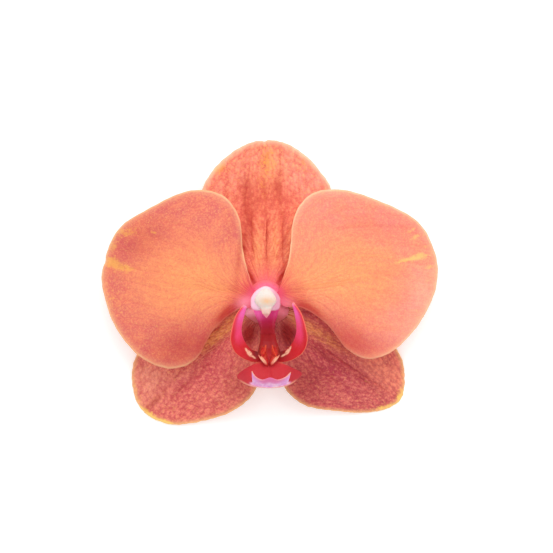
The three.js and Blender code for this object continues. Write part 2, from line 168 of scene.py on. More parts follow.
def on_line(points, t, closed=False):
    """A point on the smooth line through some points, at t from 0 to 1."""
    count = len(points)
    spans = count if closed else count - 1
    place = t * spans
    i = min(int(place), spans - 1)
    w = place - i
    if closed:
        p0, p1, p2, p3 = (Vector(points[(i + k) % count]) for k in (-1, 0, 1, 2))
    else:
        p1, p2 = Vector(points[i]), Vector(points[i + 1])
        p0 = Vector(points[i - 1]) if i > 0 else 2 * p1 - p2
        p3 = Vector(points[i + 2]) if i + 2 < count else 2 * p2 - p1
    start = (p2 - p0) / 2
    end = (p3 - p1) / 2
    w2 = w * w
    w3 = w2 * w
    return (2 * w3 - 3 * w2 + 1) * p1 + (w3 - 2 * w2 + w) * start + (3 * w2 - 2 * w3) * p2 + (w3 - w2) * end


def heading(points, t):
    """The direction of that line at t."""
    return (on_line(points, min(1, t + 0.01)) - on_line(points, max(0, t - 0.01))).normalized()


# Meshes

def put_object(name, data):
    """An object at the origin, with its place in its data."""
    piece = bpy.data.objects.new(name, data)
    bpy.context.collection.objects.link(piece)
    return piece


def mesh_piece(name, corners, faces, place=placed):
    mesh = bpy.data.meshes.new(name)
    mesh.from_pydata([place(c) for c in corners], [], faces)
    mesh.update()
    return put_object(name, mesh)


def smooth(piece):
    piece.data.polygons.foreach_set("use_smooth", [True] * len(piece.data.polygons))
    piece.data.update()


def marked(piece, rows):
    """Gives each of the mesh's corners its row of named numbers, which its material or its relief reads."""
    for name in rows[0]:
        values = [row[name] for row in rows]
        piece.data.attributes.new(name, "FLOAT", "POINT").data.foreach_set("value", values)


def stands_for(piece, node, slot):
    """The piece rides with the bloom and takes the place of one of the frame's solids."""
    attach(piece, "root")
    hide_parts(node)


def finished(piece):
    """The piece again as a plain mesh, with its modifiers made part of it."""
    graph = bpy.context.evaluated_depsgraph_get()
    made = bpy.data.meshes.new_from_object(piece.evaluated_get(graph))
    name = piece.name
    old = piece.data
    bpy.data.objects.remove(piece)
    bpy.data.batch_remove([old])
    made.name = name
    return put_object(name, made)


def loft(rings):
    """Corners and faces of a closed skin through a run of rings."""
    sides = len(rings[0])
    corners = [p for ring in rings for p in ring]
    faces = []
    for k in range(len(rings) - 1):
        for i in range(sides):
            a = k * sides + i
            b = k * sides + (i + 1) % sides
            faces.append((a, b, b + sides, a + sides))
    faces.append(tuple(range(sides - 1, -1, -1)))
    faces.append(tuple((len(rings) - 1) * sides + i for i in range(sides)))
    return corners, faces


def lofted(ring, rows):
    """A closed skin through rings, each made from its row of sizes."""
    return loft([ring(*row) for row in rows])


def gathered(shells):
    """Several skins as one list of corners and faces."""
    corners = []
    faces = []
    for own_corners, own_faces in shells:
        start = len(corners)
        corners += own_corners
        faces += [tuple(start + i for i in face) for face in own_faces]
    return corners, faces


def grown_together(name, shells, voxel, rounds):
    """Overlapping skins grown into one, with soft inner corners where they meet."""
    piece = mesh_piece(name, *gathered(shells))
    remesh = piece.modifiers.new("grow", "REMESH")
    remesh.mode = "VOXEL"
    remesh.voxel_size = voxel * MM
    soften = piece.modifiers.new("soften", "SMOOTH")
    soften.factor = 0.5
    soften.iterations = rounds
    piece = finished(piece)
    smooth(piece)
    return piece


def in_bloom(corner):
    """A mesh corner's place in the bloom's millimetres."""
    return corner.co / MM - ROOT_AT


def disc(cells):
    """The corners of a grid that fills the unit disc, row by row: u, v, distance from its middle, turn."""
    corners = []
    for j in range(cells + 1):
        for i in range(cells + 1):
            a = 2 * i / cells - 1
            b = 2 * j / cells - 1
            u = a * math.sqrt(1 - b * b / 2)
            v = b * math.sqrt(1 - a * a / 2)
            corners.append((u, v, min(1.0, math.hypot(u, v)), math.atan2(v, u) / (2 * math.pi) % 1))
    return corners


def disc_faces(cells):
    row = cells + 1
    return [
        (j * row + i, j * row + i + 1, (j + 1) * row + i + 1, (j + 1) * row + i)
        for j in range(cells) for i in range(cells)
    ]


def leaf_skin(cells):
    """The faces of a leaf: a front and a back, each laid out as a disc, closed by a strip round the rim."""
    row = cells + 1
    count = row * row
    front = disc_faces(cells)
    back = [tuple(count + i for i in reversed(face)) for face in front]
    rim = [*range(cells)] + [cells + j * row for j in range(cells)]
    rim += [count - 1 - i for i in range(cells)] + [(cells - j) * row for j in range(cells)]
    strip = [(here, here + count, there + count, there) for here, there in zip(rim, rim[1:] + rim[:1])]
    return front + back + strip


# Sepals and petals

def arch_height(shape, place, reach, turn):
    """The height of a blade's middle, as in the frame's solids."""
    root = Vector(shape["root"])
    axis = Vector(shape["tip"]) - root
    length = axis.length
    axis /= length
    out = place - root
    along = out.dot(axis) / length
    side = (axis.x * out.y - axis.y * out.x) / shape["half_width"]
    rise = shape["lift"] * along * (1 - along) ** 2
    hang = shape["droop"] * side * side * (1 - ease(along) ** 2)
    midrib = MIDRIB_DEPTH * bell(side * shape["half_width"]) * ease(4 * along) * (1 - ease(along))
    wave = shape["ruffle"] * reach ** 5 * math.sin(2 * math.pi * shape["waves"] * turn) * ease(2.5 * along)
    roll_side = ease(2.5 * shape["roll_side"] * side) * ease(4 * along) * (1 - ease(1.6 * along))
    rolled = shape["roll"] * reach ** 6 * roll_side
    sunk = shape["drop"] * ease(along) + hang + midrib + rolled
    return shape["level"] + rise - sunk + wave * (1 - ease(along))


def patch(place, spot):
    """How far a soft oval patch covers a point: its strength in the middle, nothing outside."""
    middle_x, middle_y, long, wide, tilt, strength = spot
    c = math.cos(math.radians(tilt))
    s = math.sin(math.radians(tilt))
    u = ((place.x - middle_x) * c + (place.y - middle_y) * s) / long
    v = ((place.y - middle_y) * c - (place.x - middle_x) * s) / wide
    return strength * bell(math.hypot(u, v))


def crease(place, line):
    """How deep a point lies in a crease, which runs between two points and fades out at both."""
    x0, y0, x1, y1, wide, depth = line
    start = Vector((x0, y0))
    run = Vector((x1, y1)) - start
    out = place - start
    t = out.dot(run) / run.length_squared
    if t <= 0 or t >= 1:
        return 0.0
    return depth * bell((out - run * t).length / wide) * ease(4 * t) * ease(4 * (1 - t))


def margin_dip(edge, turn, nicks):
    """How far the margin is drawn in, as a share: a little all round, more where there is a nick."""
    small = sum(math.sin(2 * math.pi * waves * turn + start) for waves, start in ((17, 0), (29, 2), (47, 0)))
    deep = sum(depth * bell((edge - Vector((x, y))).length / wide) for x, y, wide, depth in nicks)
    return 0.003 + 0.0012 * small + deep


def veins_at(u, v, root_turn):
    """Where a point of the unit disc lies among the veins: across them, and from root (0) to tip (1)."""
    c = math.cos(root_turn)
    s = math.sin(root_turn)
    a = u * c + v * s
    b = v * c - u * s
    fan = math.atan2(b, VEIN_START - a) + math.atan2(b, a + VEIN_GOAL)
    return fan, math.hypot(VEIN_START - a, b) / VEIN_LENGTH


def blade(name, shape):
    """A sepal or petal: a thin skin with front, back and soft rim, and the marks that its tissue reads."""
    middle = Vector(shape["middle"])
    root_turn = -math.pi / len(shape["outline"])
    length = (Vector(shape["tip"]) - Vector(shape["root"])).length
    sheet = []
    rows = []
    for u, v, reach, turn in disc(BLADE_CELLS):
        edge = on_line(shape["outline"], turn, closed=True)
        place = middle.lerp(edge, reach * (1 - margin_dip(edge, turn, shape["nicks"]) * reach ** 8))
        fold = sum(crease(place, line) for line in shape["creases"])
        fan, run = veins_at(u, v, root_turn)
        row = {mark: min(1.5, sum(patch(place, spot) for spot in shape[mark])) for mark in PATCH_MARKS}
        row |= {"reach": reach, "fan": fan, "run": run, "fold": min(1, 2 * fold)}
        row["blush"] = bell(place.length / shape["blush_reach"])
        sheet.append(Vector((*place, arch_height(shape, place, reach, turn) - fold)))
        rows.append(row)
    ground = mesh_piece(name + "_sheet", sheet, disc_faces(BLADE_CELLS), place=Vector)
    normals = [corner.normal.copy() for corner in ground.data.vertices]
    bpy.data.meshes.remove(ground.data)
    half = [shape["thick"] / 2 * mix(1, RIM_SHARE, row["reach"] ** 4) for row in rows]
    front = [p + n * h for p, n, h in zip(sheet, normals, half)]
    back = [p - n * h for p, n, h in zip(sheet, normals, half)]
    piece = mesh_piece(name, front + back, leaf_skin(BLADE_CELLS))
    marked(piece, [row | {"front": side} for side in (1.0, 0.0) for row in rows])
    across = shape["half_width"] / VEIN_FAN
    uvs = piece.data.uv_layers.new(name="veins").data
    for loop in piece.data.loops:
        row = rows[loop.vertex_index % len(rows)]
        uvs[loop.index].uv = (row["fan"] * across, row["run"] * length)
    smooth(piece)
    return piece


# Node work

def node_maker(tree):
    """Gives the function that adds nodes to a tree."""

    def put(kind, inputs=None, out=0, **settings):
        """Adds a node with its settings, sets or links its inputs, and returns one of its outputs."""
        family = next(f for f in ("ShaderNode", "GeometryNode", "Node") if hasattr(bpy.types, f + kind))
        node = tree.nodes.new(family + kind)
        for name, value in settings.items():
            setattr(node, name, value)
        for name, value in (inputs or {}).items():
            if isinstance(value, bpy.types.NodeSocket):
                tree.links.new(value, node.inputs[name])
            else:
                node.inputs[name].default_value = value
        return node.outputs[out] if node.outputs else node

    return put


def colour(code):
    """An sRGB hex value as a linear colour."""
    parts = [int(code[i:i + 2], 16) / 255 for i in (1, 3, 5)]
    return (*[p / 12.92 if p <= 0.04045 else ((p + 0.055) / 1.055) ** 2.4 for p in parts], 1)


def tree_inputs(tree, wanted):
    for name, (kind, value) in wanted.items():
        socket = tree.interface.new_socket(name, in_out="INPUT", socket_type=kind)
        if value is not None:
            socket.default_value = value


def dressed(piece, tree, **values):
    """Runs a geometry tree on a piece, with its inputs set by name, and keeps the result as a plain mesh."""
    shaping = piece.modifiers.new(tree.name, "NODES")
    shaping.node_group = tree
    for item in tree.interface.items_tree:
        if item.item_type == "SOCKET" and item.in_out == "INPUT" and item.name in values:
            shaping[item.identifier] = values[item.name]
    return finished(piece)


def tissue_relief():
    """Pebbles that follow the veins, veins sunk in the face and raised behind, and a soft pucker."""
    tree = bpy.data.node_groups.new("tissue relief", "GeometryNodeTree")
    put = node_maker(tree)
    tree_inputs(tree, {
        "Blade": ("NodeSocketGeometry", None),
        "Vein Count": ("NodeSocketFloat", 14.0),
        "Vein Depth": ("NodeSocketFloat", 0.00006),
        "Pebble Width": ("NodeSocketFloat", 0.8),
        "Pebble Length": ("NodeSocketFloat", 1.0),
        "Pebble Height": ("NodeSocketFloat", 0.00006),
        "Pucker Size": ("NodeSocketFloat", 0.006),
        "Pucker Height": ("NodeSocketFloat", 0.0002),
        "Tissue": ("NodeSocketMaterial", None),
    })
    tree.interface.new_socket("Blade", in_out="OUTPUT", socket_type="NodeSocketGeometry")
    given = tree.nodes.new("NodeGroupInput").outputs
    fan, run, reach, front = (
        put("InputNamedAttribute", {"Name": name}, data_type="FLOAT")
        for name in ("fan", "run", "reach", "front")
    )
    place = put("InputPosition")
    normal = put("InputNormal")
    wander = put("TexNoise", {"Vector": place, "Scale": 140.0, "Detail": 1.0})
    bent = put("Math", {0: wander, 1: 1.2, 2: 0.0}, operation="MULTIPLY_ADD")
    turned = put("Math", {0: fan, 1: given["Vein Count"], 2: bent}, operation="MULTIPLY_ADD")
    swing = put("Math", {0: put("Math", {0: turned}, operation="SINE")}, operation="ABSOLUTE")
    groove = put("MapRange", {"Value": swing, 1: 0.0, 2: 0.4, 3: 1.0, 4: 0.0},
                 interpolation_type="SMOOTHSTEP")
    inner = put("MapRange", {"Value": reach, 1: 0.75, 2: 0.97, 3: 1.0, 4: 0.0},
                interpolation_type="SMOOTHSTEP")
    away = put("MapRange", {"Value": run, 1: 0.04, 2: 0.2}, interpolation_type="SMOOTHSTEP")
    vein = put("Math", {0: groove, 1: inner}, operation="MULTIPLY")
    vein = put("Math", {0: vein, 1: away}, operation="MULTIPLY")
    facing = put("MapRange", {"Value": front, 1: 0.0, 2: 1.0, 3: 0.9, 4: -1.0})
    sunk = put("Math", {0: vein, 1: facing}, operation="MULTIPLY")
    vein_height = put("Math", {0: sunk, 1: given["Vein Depth"]}, operation="MULTIPLY")
    cells = put("InputNamedAttribute", {"Name": "veins"}, data_type="FLOAT_VECTOR")
    cell_size = put("CombineXYZ", {"X": given["Pebble Width"], "Y": given["Pebble Length"], "Z": 1.0})
    cells = put("VectorMath", {0: cells, 1: cell_size}, operation="DIVIDE")
    pebble = put("TexVoronoi", {"Vector": cells, "Scale": 1.0, "Smoothness": 0.35}, feature="SMOOTH_F1")
    pebble_top = put("Math", {0: 0.4, 1: pebble}, operation="SUBTRACT")
    pebble_height = put("Math", {0: pebble_top, 1: given["Pebble Height"]}, operation="MULTIPLY")
    pebble_height = put("Math", {0: pebble_height, 1: away}, operation="MULTIPLY")
    out_by = put("Math", {0: vein_height, 1: pebble_height}, operation="ADD")
    pucker_scale = put("Math", {0: 1.0, 1: given["Pucker Size"]}, operation="DIVIDE")
    flat = put("VectorMath", {0: place, 1: (1, 1, 0)}, operation="MULTIPLY")
    pucker = put("TexNoise", {"Vector": flat, "Scale": pucker_scale, "Detail": 2.0})
    pucker_top = put("Math", {0: pucker, 1: 0.5}, operation="SUBTRACT")
    pucker_height = put("Math", {0: pucker_top, 1: given["Pucker Height"]}, operation="MULTIPLY")
    push = put("VectorMath", {0: normal, "Scale": out_by}, operation="SCALE")
    lift = put("CombineXYZ", {"Z": pucker_height})
    goal = put("VectorMath", {0: place, 1: push}, operation="ADD")
    goal = put("VectorMath", {0: goal, 1: lift}, operation="ADD")
    on_table = put("VectorMath", {0: goal, 1: (-1, -1, 0.00002)}, operation="MAXIMUM")
    shape = put("StoreNamedAttribute", {"Geometry": given["Blade"], "Name": "pebble", "Value": pebble},
                data_type="FLOAT", domain="POINT")
    shape = put("StoreNamedAttribute", {"Geometry": shape, "Name": "vein", "Value": vein},
                data_type="FLOAT", domain="POINT")
    moved = put("SetPosition", {"Geometry": shape, "Position": on_table})
    whole = put("RealizeInstances", {"Geometry": moved})
    covered = put("SetMaterial", {"Geometry": whole, "Material": given["Tissue"]})
    put("GroupOutput", {"Blade": covered})
    return tree


def ribbed_stalk():
    """A stalk along a path: thick and six-ribbed at the ovary, slimmer and rounder towards its cut end."""
    tree = bpy.data.node_groups.new("ribbed stalk", "GeometryNodeTree")
    put = node_maker(tree)
    tree_inputs(tree, {
        "Path": ("NodeSocketGeometry", None),
        "Step": ("NodeSocketFloat", 0.00025),
        "Stalk Radius": ("NodeSocketFloat", 0.0014),
        "Ovary Swell": ("NodeSocketFloat", 0.00125),
        "Rib Depth": ("NodeSocketFloat", 0.00016),
        "Skin": ("NodeSocketMaterial", None),
    })
    tree.interface.new_socket("Stalk", in_out="OUTPUT", socket_type="NodeSocketGeometry")
    given = tree.nodes.new("NodeGroupInput").outputs
    path = put("ResampleCurve", {"Curve": given["Path"], "Length": given["Step"]}, mode="LENGTH")
    along = put("SplineParameter")
    swell = put("MapRange", {"Value": along, 1: 0.0, 2: 0.31, 3: 1.0, 4: 0.0},
                interpolation_type="SMOOTHSTEP")
    thick = put("Math", {0: swell, 1: given["Ovary Swell"], 2: given["Stalk Radius"]},
                operation="MULTIPLY_ADD")
    path = put("StoreNamedAttribute", {"Geometry": path, "Name": "along", "Value": along},
               data_type="FLOAT", domain="POINT")
    ring = put("CurvePrimitiveCircle", {"Resolution": 48, "Radius": 1.0})
    turn = put("SplineParameter")
    ring = put("StoreNamedAttribute", {"Geometry": ring, "Name": "turn", "Value": turn},
               data_type="FLOAT", domain="POINT")
    tube = put("CurveToMesh", {"Curve": path, "Profile Curve": ring, "Scale": thick, "Fill Caps": True})
    turned = put("InputNamedAttribute", {"Name": "turn"}, data_type="FLOAT")
    down = put("InputNamedAttribute", {"Name": "along"}, data_type="FLOAT")
    angle = put("Math", {0: turned, 1: 12 * math.pi}, operation="MULTIPLY")
    rib = put("Math", {0: angle}, operation="COSINE")
    fade = put("MapRange", {"Value": down, 1: 0.1, 2: 0.8, 3: 1.0, 4: 0.15})
    rib = put("Math", {0: rib, 1: fade}, operation="MULTIPLY")
    rib = put("Math", {0: rib, 1: given["Rib Depth"]}, operation="MULTIPLY")
    push = put("VectorMath", {0: put("InputNormal"), "Scale": rib}, operation="SCALE")
    moved = put("SetPosition", {"Geometry": tube, "Offset": push})
    soft = put("SetShadeSmooth", {"Geometry": moved, "Shade Smooth": True})
    whole = put("RealizeInstances", {"Geometry": soft})
    covered = put("SetMaterial", {"Geometry": whole, "Material": given["Skin"]})
    put("GroupOutput", {"Stalk": covered})
    return tree


# Materials

def bare_material(name):
    material = bpy.data.materials.new(name)
    material.use_nodes = True
    material.node_tree.nodes.clear()
    return material, node_maker(material.node_tree)


def mottle(put, coordinates, size, seed=0.0, low=0.35, high=0.65):
    """Soft random blotches of a size in millimetres, as a number from 0 to 1."""
    moved = put("Mapping", {
        "Vector": coordinates, "Location": (seed, 2 * seed, seed / 2), "Scale": tuple(1 / s for s in size),
    })
    noise = put("TexNoise", {"Vector": moved, "Scale": 1.0, "Detail": 2.0, "Roughness": 0.6})
    return put("MapRange", {"Value": noise, 1: low, 2: high}, interpolation_type="SMOOTHSTEP")


def coats(put, ground, layers):
    """A ground colour under thin coats of others. Each coat has a colour and masks, whose product lays it
    on: a mask is a number, or a pattern, or a pattern with two values, between which it fades in. A tint
    darkens."""
    result = colour(ground)
    for code, *masks in layers:
        blend = "MULTIPLY" if masks[-1] == "tint" else "MIX"
        cover = None
        for mask in masks:
            if mask == "tint":
                continue
            if isinstance(mask, tuple):
                pattern, start, end = mask
                mask = put("MapRange", {"Value": pattern, 1: start, 2: end}, interpolation_type="SMOOTHSTEP")
            if cover is not None:
                mask = put("Math", {0: cover, 1: mask}, operation="MULTIPLY", use_clamp=True)
            cover = mask
        result = put("Mix", {0: cover, 6: result, 7: colour(code)}, out=2, data_type="RGBA", blend_type=blend)
    return result


def tissue_inputs(put, names):
    """Places in millimetres, and the named numbers that the mesh carries."""
    place = put("TexCoord", out="Object")
    in_mm = put("VectorMath", {0: place, "Scale": 1000.0}, operation="SCALE")
    mark = {name: put("Attribute", out="Fac", attribute_name=name) for name in names}
    return in_mm, mark


def tissue_surface(put, skin, cells, roughness, bump, settings):
    """Gives tissue its colour, the gloss and the bumps of its cells, and its own settings."""
    rough = put("MapRange", {"Value": cells, 1: 0.0, 2: 0.8, 3: roughness[0], 4: roughness[1]})
    bumps = put("Bump", {"Height": cells, "Strength": bump[0], "Distance": bump[1] * MM}, invert=True)
    given = {"Base Color": skin, "Roughness": rough, "Normal": bumps, "IOR": 1.4}
    shader = put("BsdfPrincipled", given | settings)
    put("OutputMaterial", {"Surface": shader})


def petal_tissue(name, look):
    """Petal tissue: thin, soft and moist, of bubble-like cells over coloured sap. It gives a satin glow with
    a fine grain of rose and orange cells, veins that fan out from the root, and a thin pale rim where it has
    no pigment."""
    material, put = bare_material(name)
    veins = put("UVMap", uv_map="veins")
    names = ("reach", "run", "blush", "fold", "front", "pebble", "vein", *PATCH_MARKS)
    in_mm, mark = tissue_inputs(put, names)
    cells = put("TexVoronoi", {"Vector": in_mm, "Scale": 1 / TISSUE_CELL}, out="Color")
    cell = put("SeparateColor", {"Color": cells}, out="Red")
    clump = mottle(put, in_mm, (0.9, 0.9, 0.9), 3.0, 0.3, 0.7)
    cloud = mottle(put, in_mm, (4, 4, 4), 11.0, 0.3, 0.7)
    streak = mottle(put, veins, (0.45, 6, 1), 7.0, 0.42, 0.62)
    blush_streak = mottle(put, veins, (0.35, 7, 1), 23.0, 0.35, 0.6)
    rays = mottle(put, veins, (0.45, 8, 1), 43.0, 0.45, 0.65)
    dots = mottle(put, in_mm, (0.45, 0.45, 0.45), 31.0, 0.45, 0.8)
    spread = put("Math", {0: cloud, 1: 0.5, 2: 0.5}, operation="MULTIPLY_ADD")
    speckle = put("Math", {0: clump, 1: dots}, operation="ADD")
    rough_edge = put("Math", {0: speckle, 1: 0.5, 2: -0.42}, operation="MULTIPLY_ADD")
    gold = put("Math", {0: mark["gold"], 1: rough_edge}, operation="ADD")
    outer = ((mark["reach"], 0.2, 0.75), (mark["run"], 0.15, 0.5))
    margin = ((mark["reach"], 0.9, 1.0), (mark["run"], 0.2, 0.5))
    brim = ((mark["reach"], 0.967, 0.994), (mark["run"], 0.1, 0.3))
    pebbled = (mark["run"], 0.12, 0.3)
    skin = coats(put, look["ground"], (
        (*look["rose"], *outer, spread),
        (look["glow"], mark["glow"]),
        # painted light: lighter rose where the light falls full on the blade
        (look["flush"], mark["flush"]),
        (*look["streak"], streak),
        (*look["vein"], mark["vein"]),
        # painted shade in the hollows between the pebbles, and painted highlight on their tops
        (*look["valley"], (mark["pebble"], 0.25, 0.8), pebbled),
        (*look["painted_pebble_highlight"], (mark["pebble"], 0.5, 0.1), pebbled),
        (*look["rose_cell"], (cell, 0.6, 0.1)),
        (*look["ochre_cell"], (cell, 0.5, 1.0)),
        (*look["dot"], dots, *outer),
        (*look["gold"], (gold, 0.1, 1.2)),
        (*look["rim"], *margin),
        (look["rim"][0], *brim, spread, 0.55),
        (look["blush"], (mark["blush"], 0.05, 0.55), blush_streak, 0.6),
        (look["blush"], (mark["blush"], 0.35, 0.85), 0.8),
        (*look["ray"], (mark["blush"], 0.05, 0.35), rays),
        (look["heart"], (mark["blush"], 0.55, 0.8), 0.75),
        # painted shade: darkens the blade where shade falls, under neighbouring edges, along turned-down
        # margins and in creases
        (look["dusk"], mark["dusk"], "tint"),
        # painted light again, laid thinly over the grain
        (look["flush"], mark["flush"], spread, 0.3),
        (look["pink"], mark["pink"]),
        # painted shade in the creases, darker where the blade folds in
        (look["fold"], mark["fold"], "tint"),
        (look["back"], (mark["front"], 0.7, 0.3), 0.5),
    ))
    papillae = put("TexVoronoi", {"Vector": in_mm, "Scale": 1 / TISSUE_CELL})
    tissue_surface(put, skin, papillae, (0.45, 0.62), (0.5, 0.1), {
        "Specular IOR Level": 0.22, "Sheen Weight": 0.05, "Sheen Roughness": 0.4, "Subsurface Weight": 0.12,
        "Subsurface Radius": (1.0, 0.45, 0.3), "Subsurface Scale": 0.4 * MM,
    })
    return material


def waxy_flesh(name, ground, names, layers_of, roughness, coat, scatter):
    """The lip's and column's flesh: firm, smooth and waxy, like a moist sweet. It gives saturated colour with
    soft highlights and a slight glow in thin places."""
    material, put = bare_material(name)
    in_mm, mark = tissue_inputs(put, names)
    skin = coats(put, ground, layers_of(put, in_mm, mark))
    cells = put("TexVoronoi", {"Vector": in_mm, "Scale": 1 / FLESH_CELL})
    tissue_surface(put, skin, cells, (roughness, roughness + 0.12), (0.12, 0.05), {
        "Specular IOR Level": 0.3, "Coat Weight": coat, "Coat Roughness": 0.25, "Subsurface Weight": scatter,
        "Subsurface Radius": (1.0, 0.4, 0.35), "Subsurface Scale": 0.8 * MM,
    })
    return material


def fleshed(piece, name, ground, marks_of, layers_of, *finish):
    """Marks each corner of a fleshy part for its place, and covers the part with its own kind of flesh."""
    rows = [marks_of(in_bloom(corner)) for corner in piece.data.vertices]
    marked(piece, rows)
    piece.data.materials.append(waxy_flesh(name, ground, rows[0], layers_of, *finish))


def lip_coats(put, in_mm, mark):
    """Crimson turning to magenta up the side lobes, cream and orange by the callus, a lavender apron."""
    lobe = mark["lobe"]
    rise = mark["rise"]
    across = mark["across"]
    fine = mottle(put, in_mm, (0.35, 0.35, 0.35), 5.0)
    feather = mottle(put, in_mm, (0.16, 0.7, 0.7), 17.0, 0.38, 0.6)
    soft = mottle(put, in_mm, (1.4, 1.4, 1.4), 9.0, 0.3, 0.7)
    return (
        ("#DC3A44", soft, 0.4),
        ("#C03038", mark["middle"], 0.7),
        ("#A8222E", mark["wing"], 0.6),
        ("#A00A12", mark["gloom"], 0.95),
        ("#A81018", lobe, (rise, 0.36, 0.1), 0.75),
        ("#EC3E4C", lobe, (rise, 0.35, 0.7), 0.8),
        ("#FF5088", lobe, (rise, 0.3, 0.58), (across, 0.6, -0.3), 0.9),
        ("#FC6CBC", lobe, (rise, 0.58, 0.9), (across, 0.95, 0.0), 0.9),
        ("#F4946C", lobe, (across, 0.9, 1.0), 0.5),
        ("#F8B4C0", lobe, (rise, 0.93, 1.0), 0.5),
        # painted shade: nearly black red in the gaps beside the callus, between it and the side lobes' bases
        ("#6A0408", mark["pit"], 0.9),
        ("#F2BE9C", mark["cream"], (fine, -0.4, 0.5)),
        ("#EC6030", mark["orange"], feather),
        ("#E27CB0", mark["fade"], 0.85),
        ("#E6A4E0", mark["apron"], 0.95),
        ("#F0CCE2", mark["pale"], soft),
        ("#F6B48C", mark["hem"]),
        ("#8E1020", fine, 0.08),
    )


def column_coats(put, in_mm, mark):
    """A pale hood over a magenta neck that deepens to crimson at the foot."""
    fine = mottle(put, in_mm, (0.5, 0.5, 0.5), 5.0)
    return (
        # painted light: the neck's left side lighter pink, where the light falls fuller
        ("#FF68BA", mark["bright"]),
        ("#B60C3A", mark["deep"]),
        ("#A00812", mark["dark"]),
        ("#F2BCD4", mark["pale"]),
        ("#F6D2DC", mark["hood"]),
        # painted shade on the hood's right side
        ("#DC8CA2", mark["pale"], mark["shade"], 0.8),
        ("#F06688", mark["collar"]),
        ("#F88CA0", mark["collar"], fine, 0.3),
        ("#F4786E", mark["collar"], mark["brim"], 0.85),
        ("#FFB0C2", mark["shoulder"]),
        # painted shade on the shoulder's right side
        ("#DE7888", mark["shoulder"], mark["shade"]),
        ("#B04038", mark["root"], 0.85),
        ("#D8586C", mark["shoulder"], fine, 0.25),
    )


def cap_coats(put, in_mm, mark):
    """Cream with a peach glow where the pollen shows through, and a rosy point."""
    fine = mottle(put, in_mm, (0.6, 0.6, 0.6), 5.0)
    return (
        ("#E6C6BE", mark["side"]),
        ("#ECC096", mark["peach"]),
        ("#F8CABC", mark["point"]),
        ("#E68094", mark["tip"]),
        ("#DCCABC", fine, 0.25),
    )


def wax_coats(put, in_mm, mark):
    """Yellow pollen, and a gummy lozenge as pale as the cap."""
    return (
        ("#E9B957", mottle(put, in_mm, (0.4, 0.4, 0.4), 2.0)),
        ("#F4C2B8", mark["gum"]),
        ("#E88496", mark["point"]),
    )


def stalk_coats(put, in_mm, mark):
    """Yellow green, turning rose near the bloom, with darker lines along it."""
    return (
        ("#B5604E", (mark["along"], 0.55, 0.0), mottle(put, in_mm, (1.2, 1.2, 1.2), 4.0, 0.3, 0.7), 0.8),
        ("#8E9A48", mottle(put, in_mm, (0.4, 0.4, 2.5), 8.0), 0.5),
    )


# What each sepal and petal looks like: its colours, most with how much of each there is. Some of these are
# painted shade and painted light: the painted shade and crease tints, the painted light, and the pebbles'
# painted shade and highlight.
LEFT_PETAL_LOOK = {
    "ground": "#F89266", "rose": ("#DB6B65", 1.0), "glow": "#FFA566", "flush": "#FFA890", "dusk": "#D68A94",
    "fold": "#D8A8A0", "back": "#F2A88C", "pink": "#FF9CB0", "streak": ("#E0665E", 0.24),
    "vein": ("#E0665E", 0.14), "valley": ("#D4605C", 0.14), "painted_pebble_highlight": ("#FFB27A", 0.14),
    "rose_cell": ("#CE505E", 0.2), "ochre_cell": ("#FFB574", 0.2), "dot": ("#F4B074", 0.42),
    "gold": ("#F6BE58", 0.6), "blush": "#E6465C", "ray": ("#C82440", 0.48), "heart": "#E85A7C",
    "rim": ("#FBD49C", 0.25),
}
RIGHT_PETAL_LOOK = LEFT_PETAL_LOOK | {
    "ground": "#FC9A6A", "rose": ("#F48E82", 0.9), "glow": "#FFA868", "flush": "#FFB8A0",
    "streak": ("#F07C68", 0.28), "vein": ("#F07C68", 0.14), "valley": ("#E66E66", 0.16),
    "rose_cell": ("#E0646C", 0.24), "ochre_cell": ("#FFC08A", 0.24), "dot": ("#FFBC80", 0.24),
    "gold": ("#FFD474", 0.6), "rim": ("#FFDCAC", 0.25),
}
DORSAL_LOOK = LEFT_PETAL_LOOK | {
    "ground": "#F47860", "rose": ("#FFA08A", 0.95), "glow": "#FFA670", "flush": "#FFAC9C",
    "dusk": "#CC8278", "fold": "#D88C84", "streak": ("#C94A3C", 0.24), "vein": ("#C94A3C", 0.3),
    "valley": ("#D0503F", 0.5), "painted_pebble_highlight": ("#FFAC78", 0.4), "rose_cell": ("#D84A4C", 0.28),
    "ochre_cell": ("#FFA070", 0.28), "dot": ("#FFB870", 0.55), "gold": ("#F8A84C", 0.75),
    "blush": "#FC7488", "ray": ("#C82440", 0.22), "heart": "#FC7090", "rim": ("#FFDCB8", 0.5),
}
LEFT_LATERAL_LOOK = LEFT_PETAL_LOOK | {
    "ground": "#E86A6A", "rose": ("#FA8A78", 0.85), "glow": "#F0A050", "flush": "#FFA088",
    "dusk": "#AC5452", "fold": "#CC8C84", "streak": ("#BE4048", 0.3), "vein": ("#BE4048", 0.25),
    "valley": ("#C03C48", 0.6), "painted_pebble_highlight": ("#FFA084", 0.42), "rose_cell": ("#C43C54", 0.3),
    "ochre_cell": ("#FFA680", 0.3), "dot": ("#FCB070", 0.42), "gold": ("#FACC58", 0.95),
    "blush": "#A02832", "ray": ("#F0A890", 0.8), "heart": "#D0607C", "rim": ("#FFD690", 0.45),
}
RIGHT_LATERAL_LOOK = LEFT_LATERAL_LOOK | {
    "ground": "#CE5458", "rose": ("#E8746A", 0.85), "glow": "#E08C48", "flush": "#FC9074",
    "fold": "#D89C98", "streak": ("#A6343E", 0.3), "vein": ("#A6343E", 0.25), "valley": ("#AA3448", 0.6),
    "painted_pebble_highlight": ("#F09480", 0.42), "rose_cell": ("#B03850", 0.3), "ochre_cell": ("#EC8C74", 0.3),
    "dot": ("#F4A47C", 0.42),
}
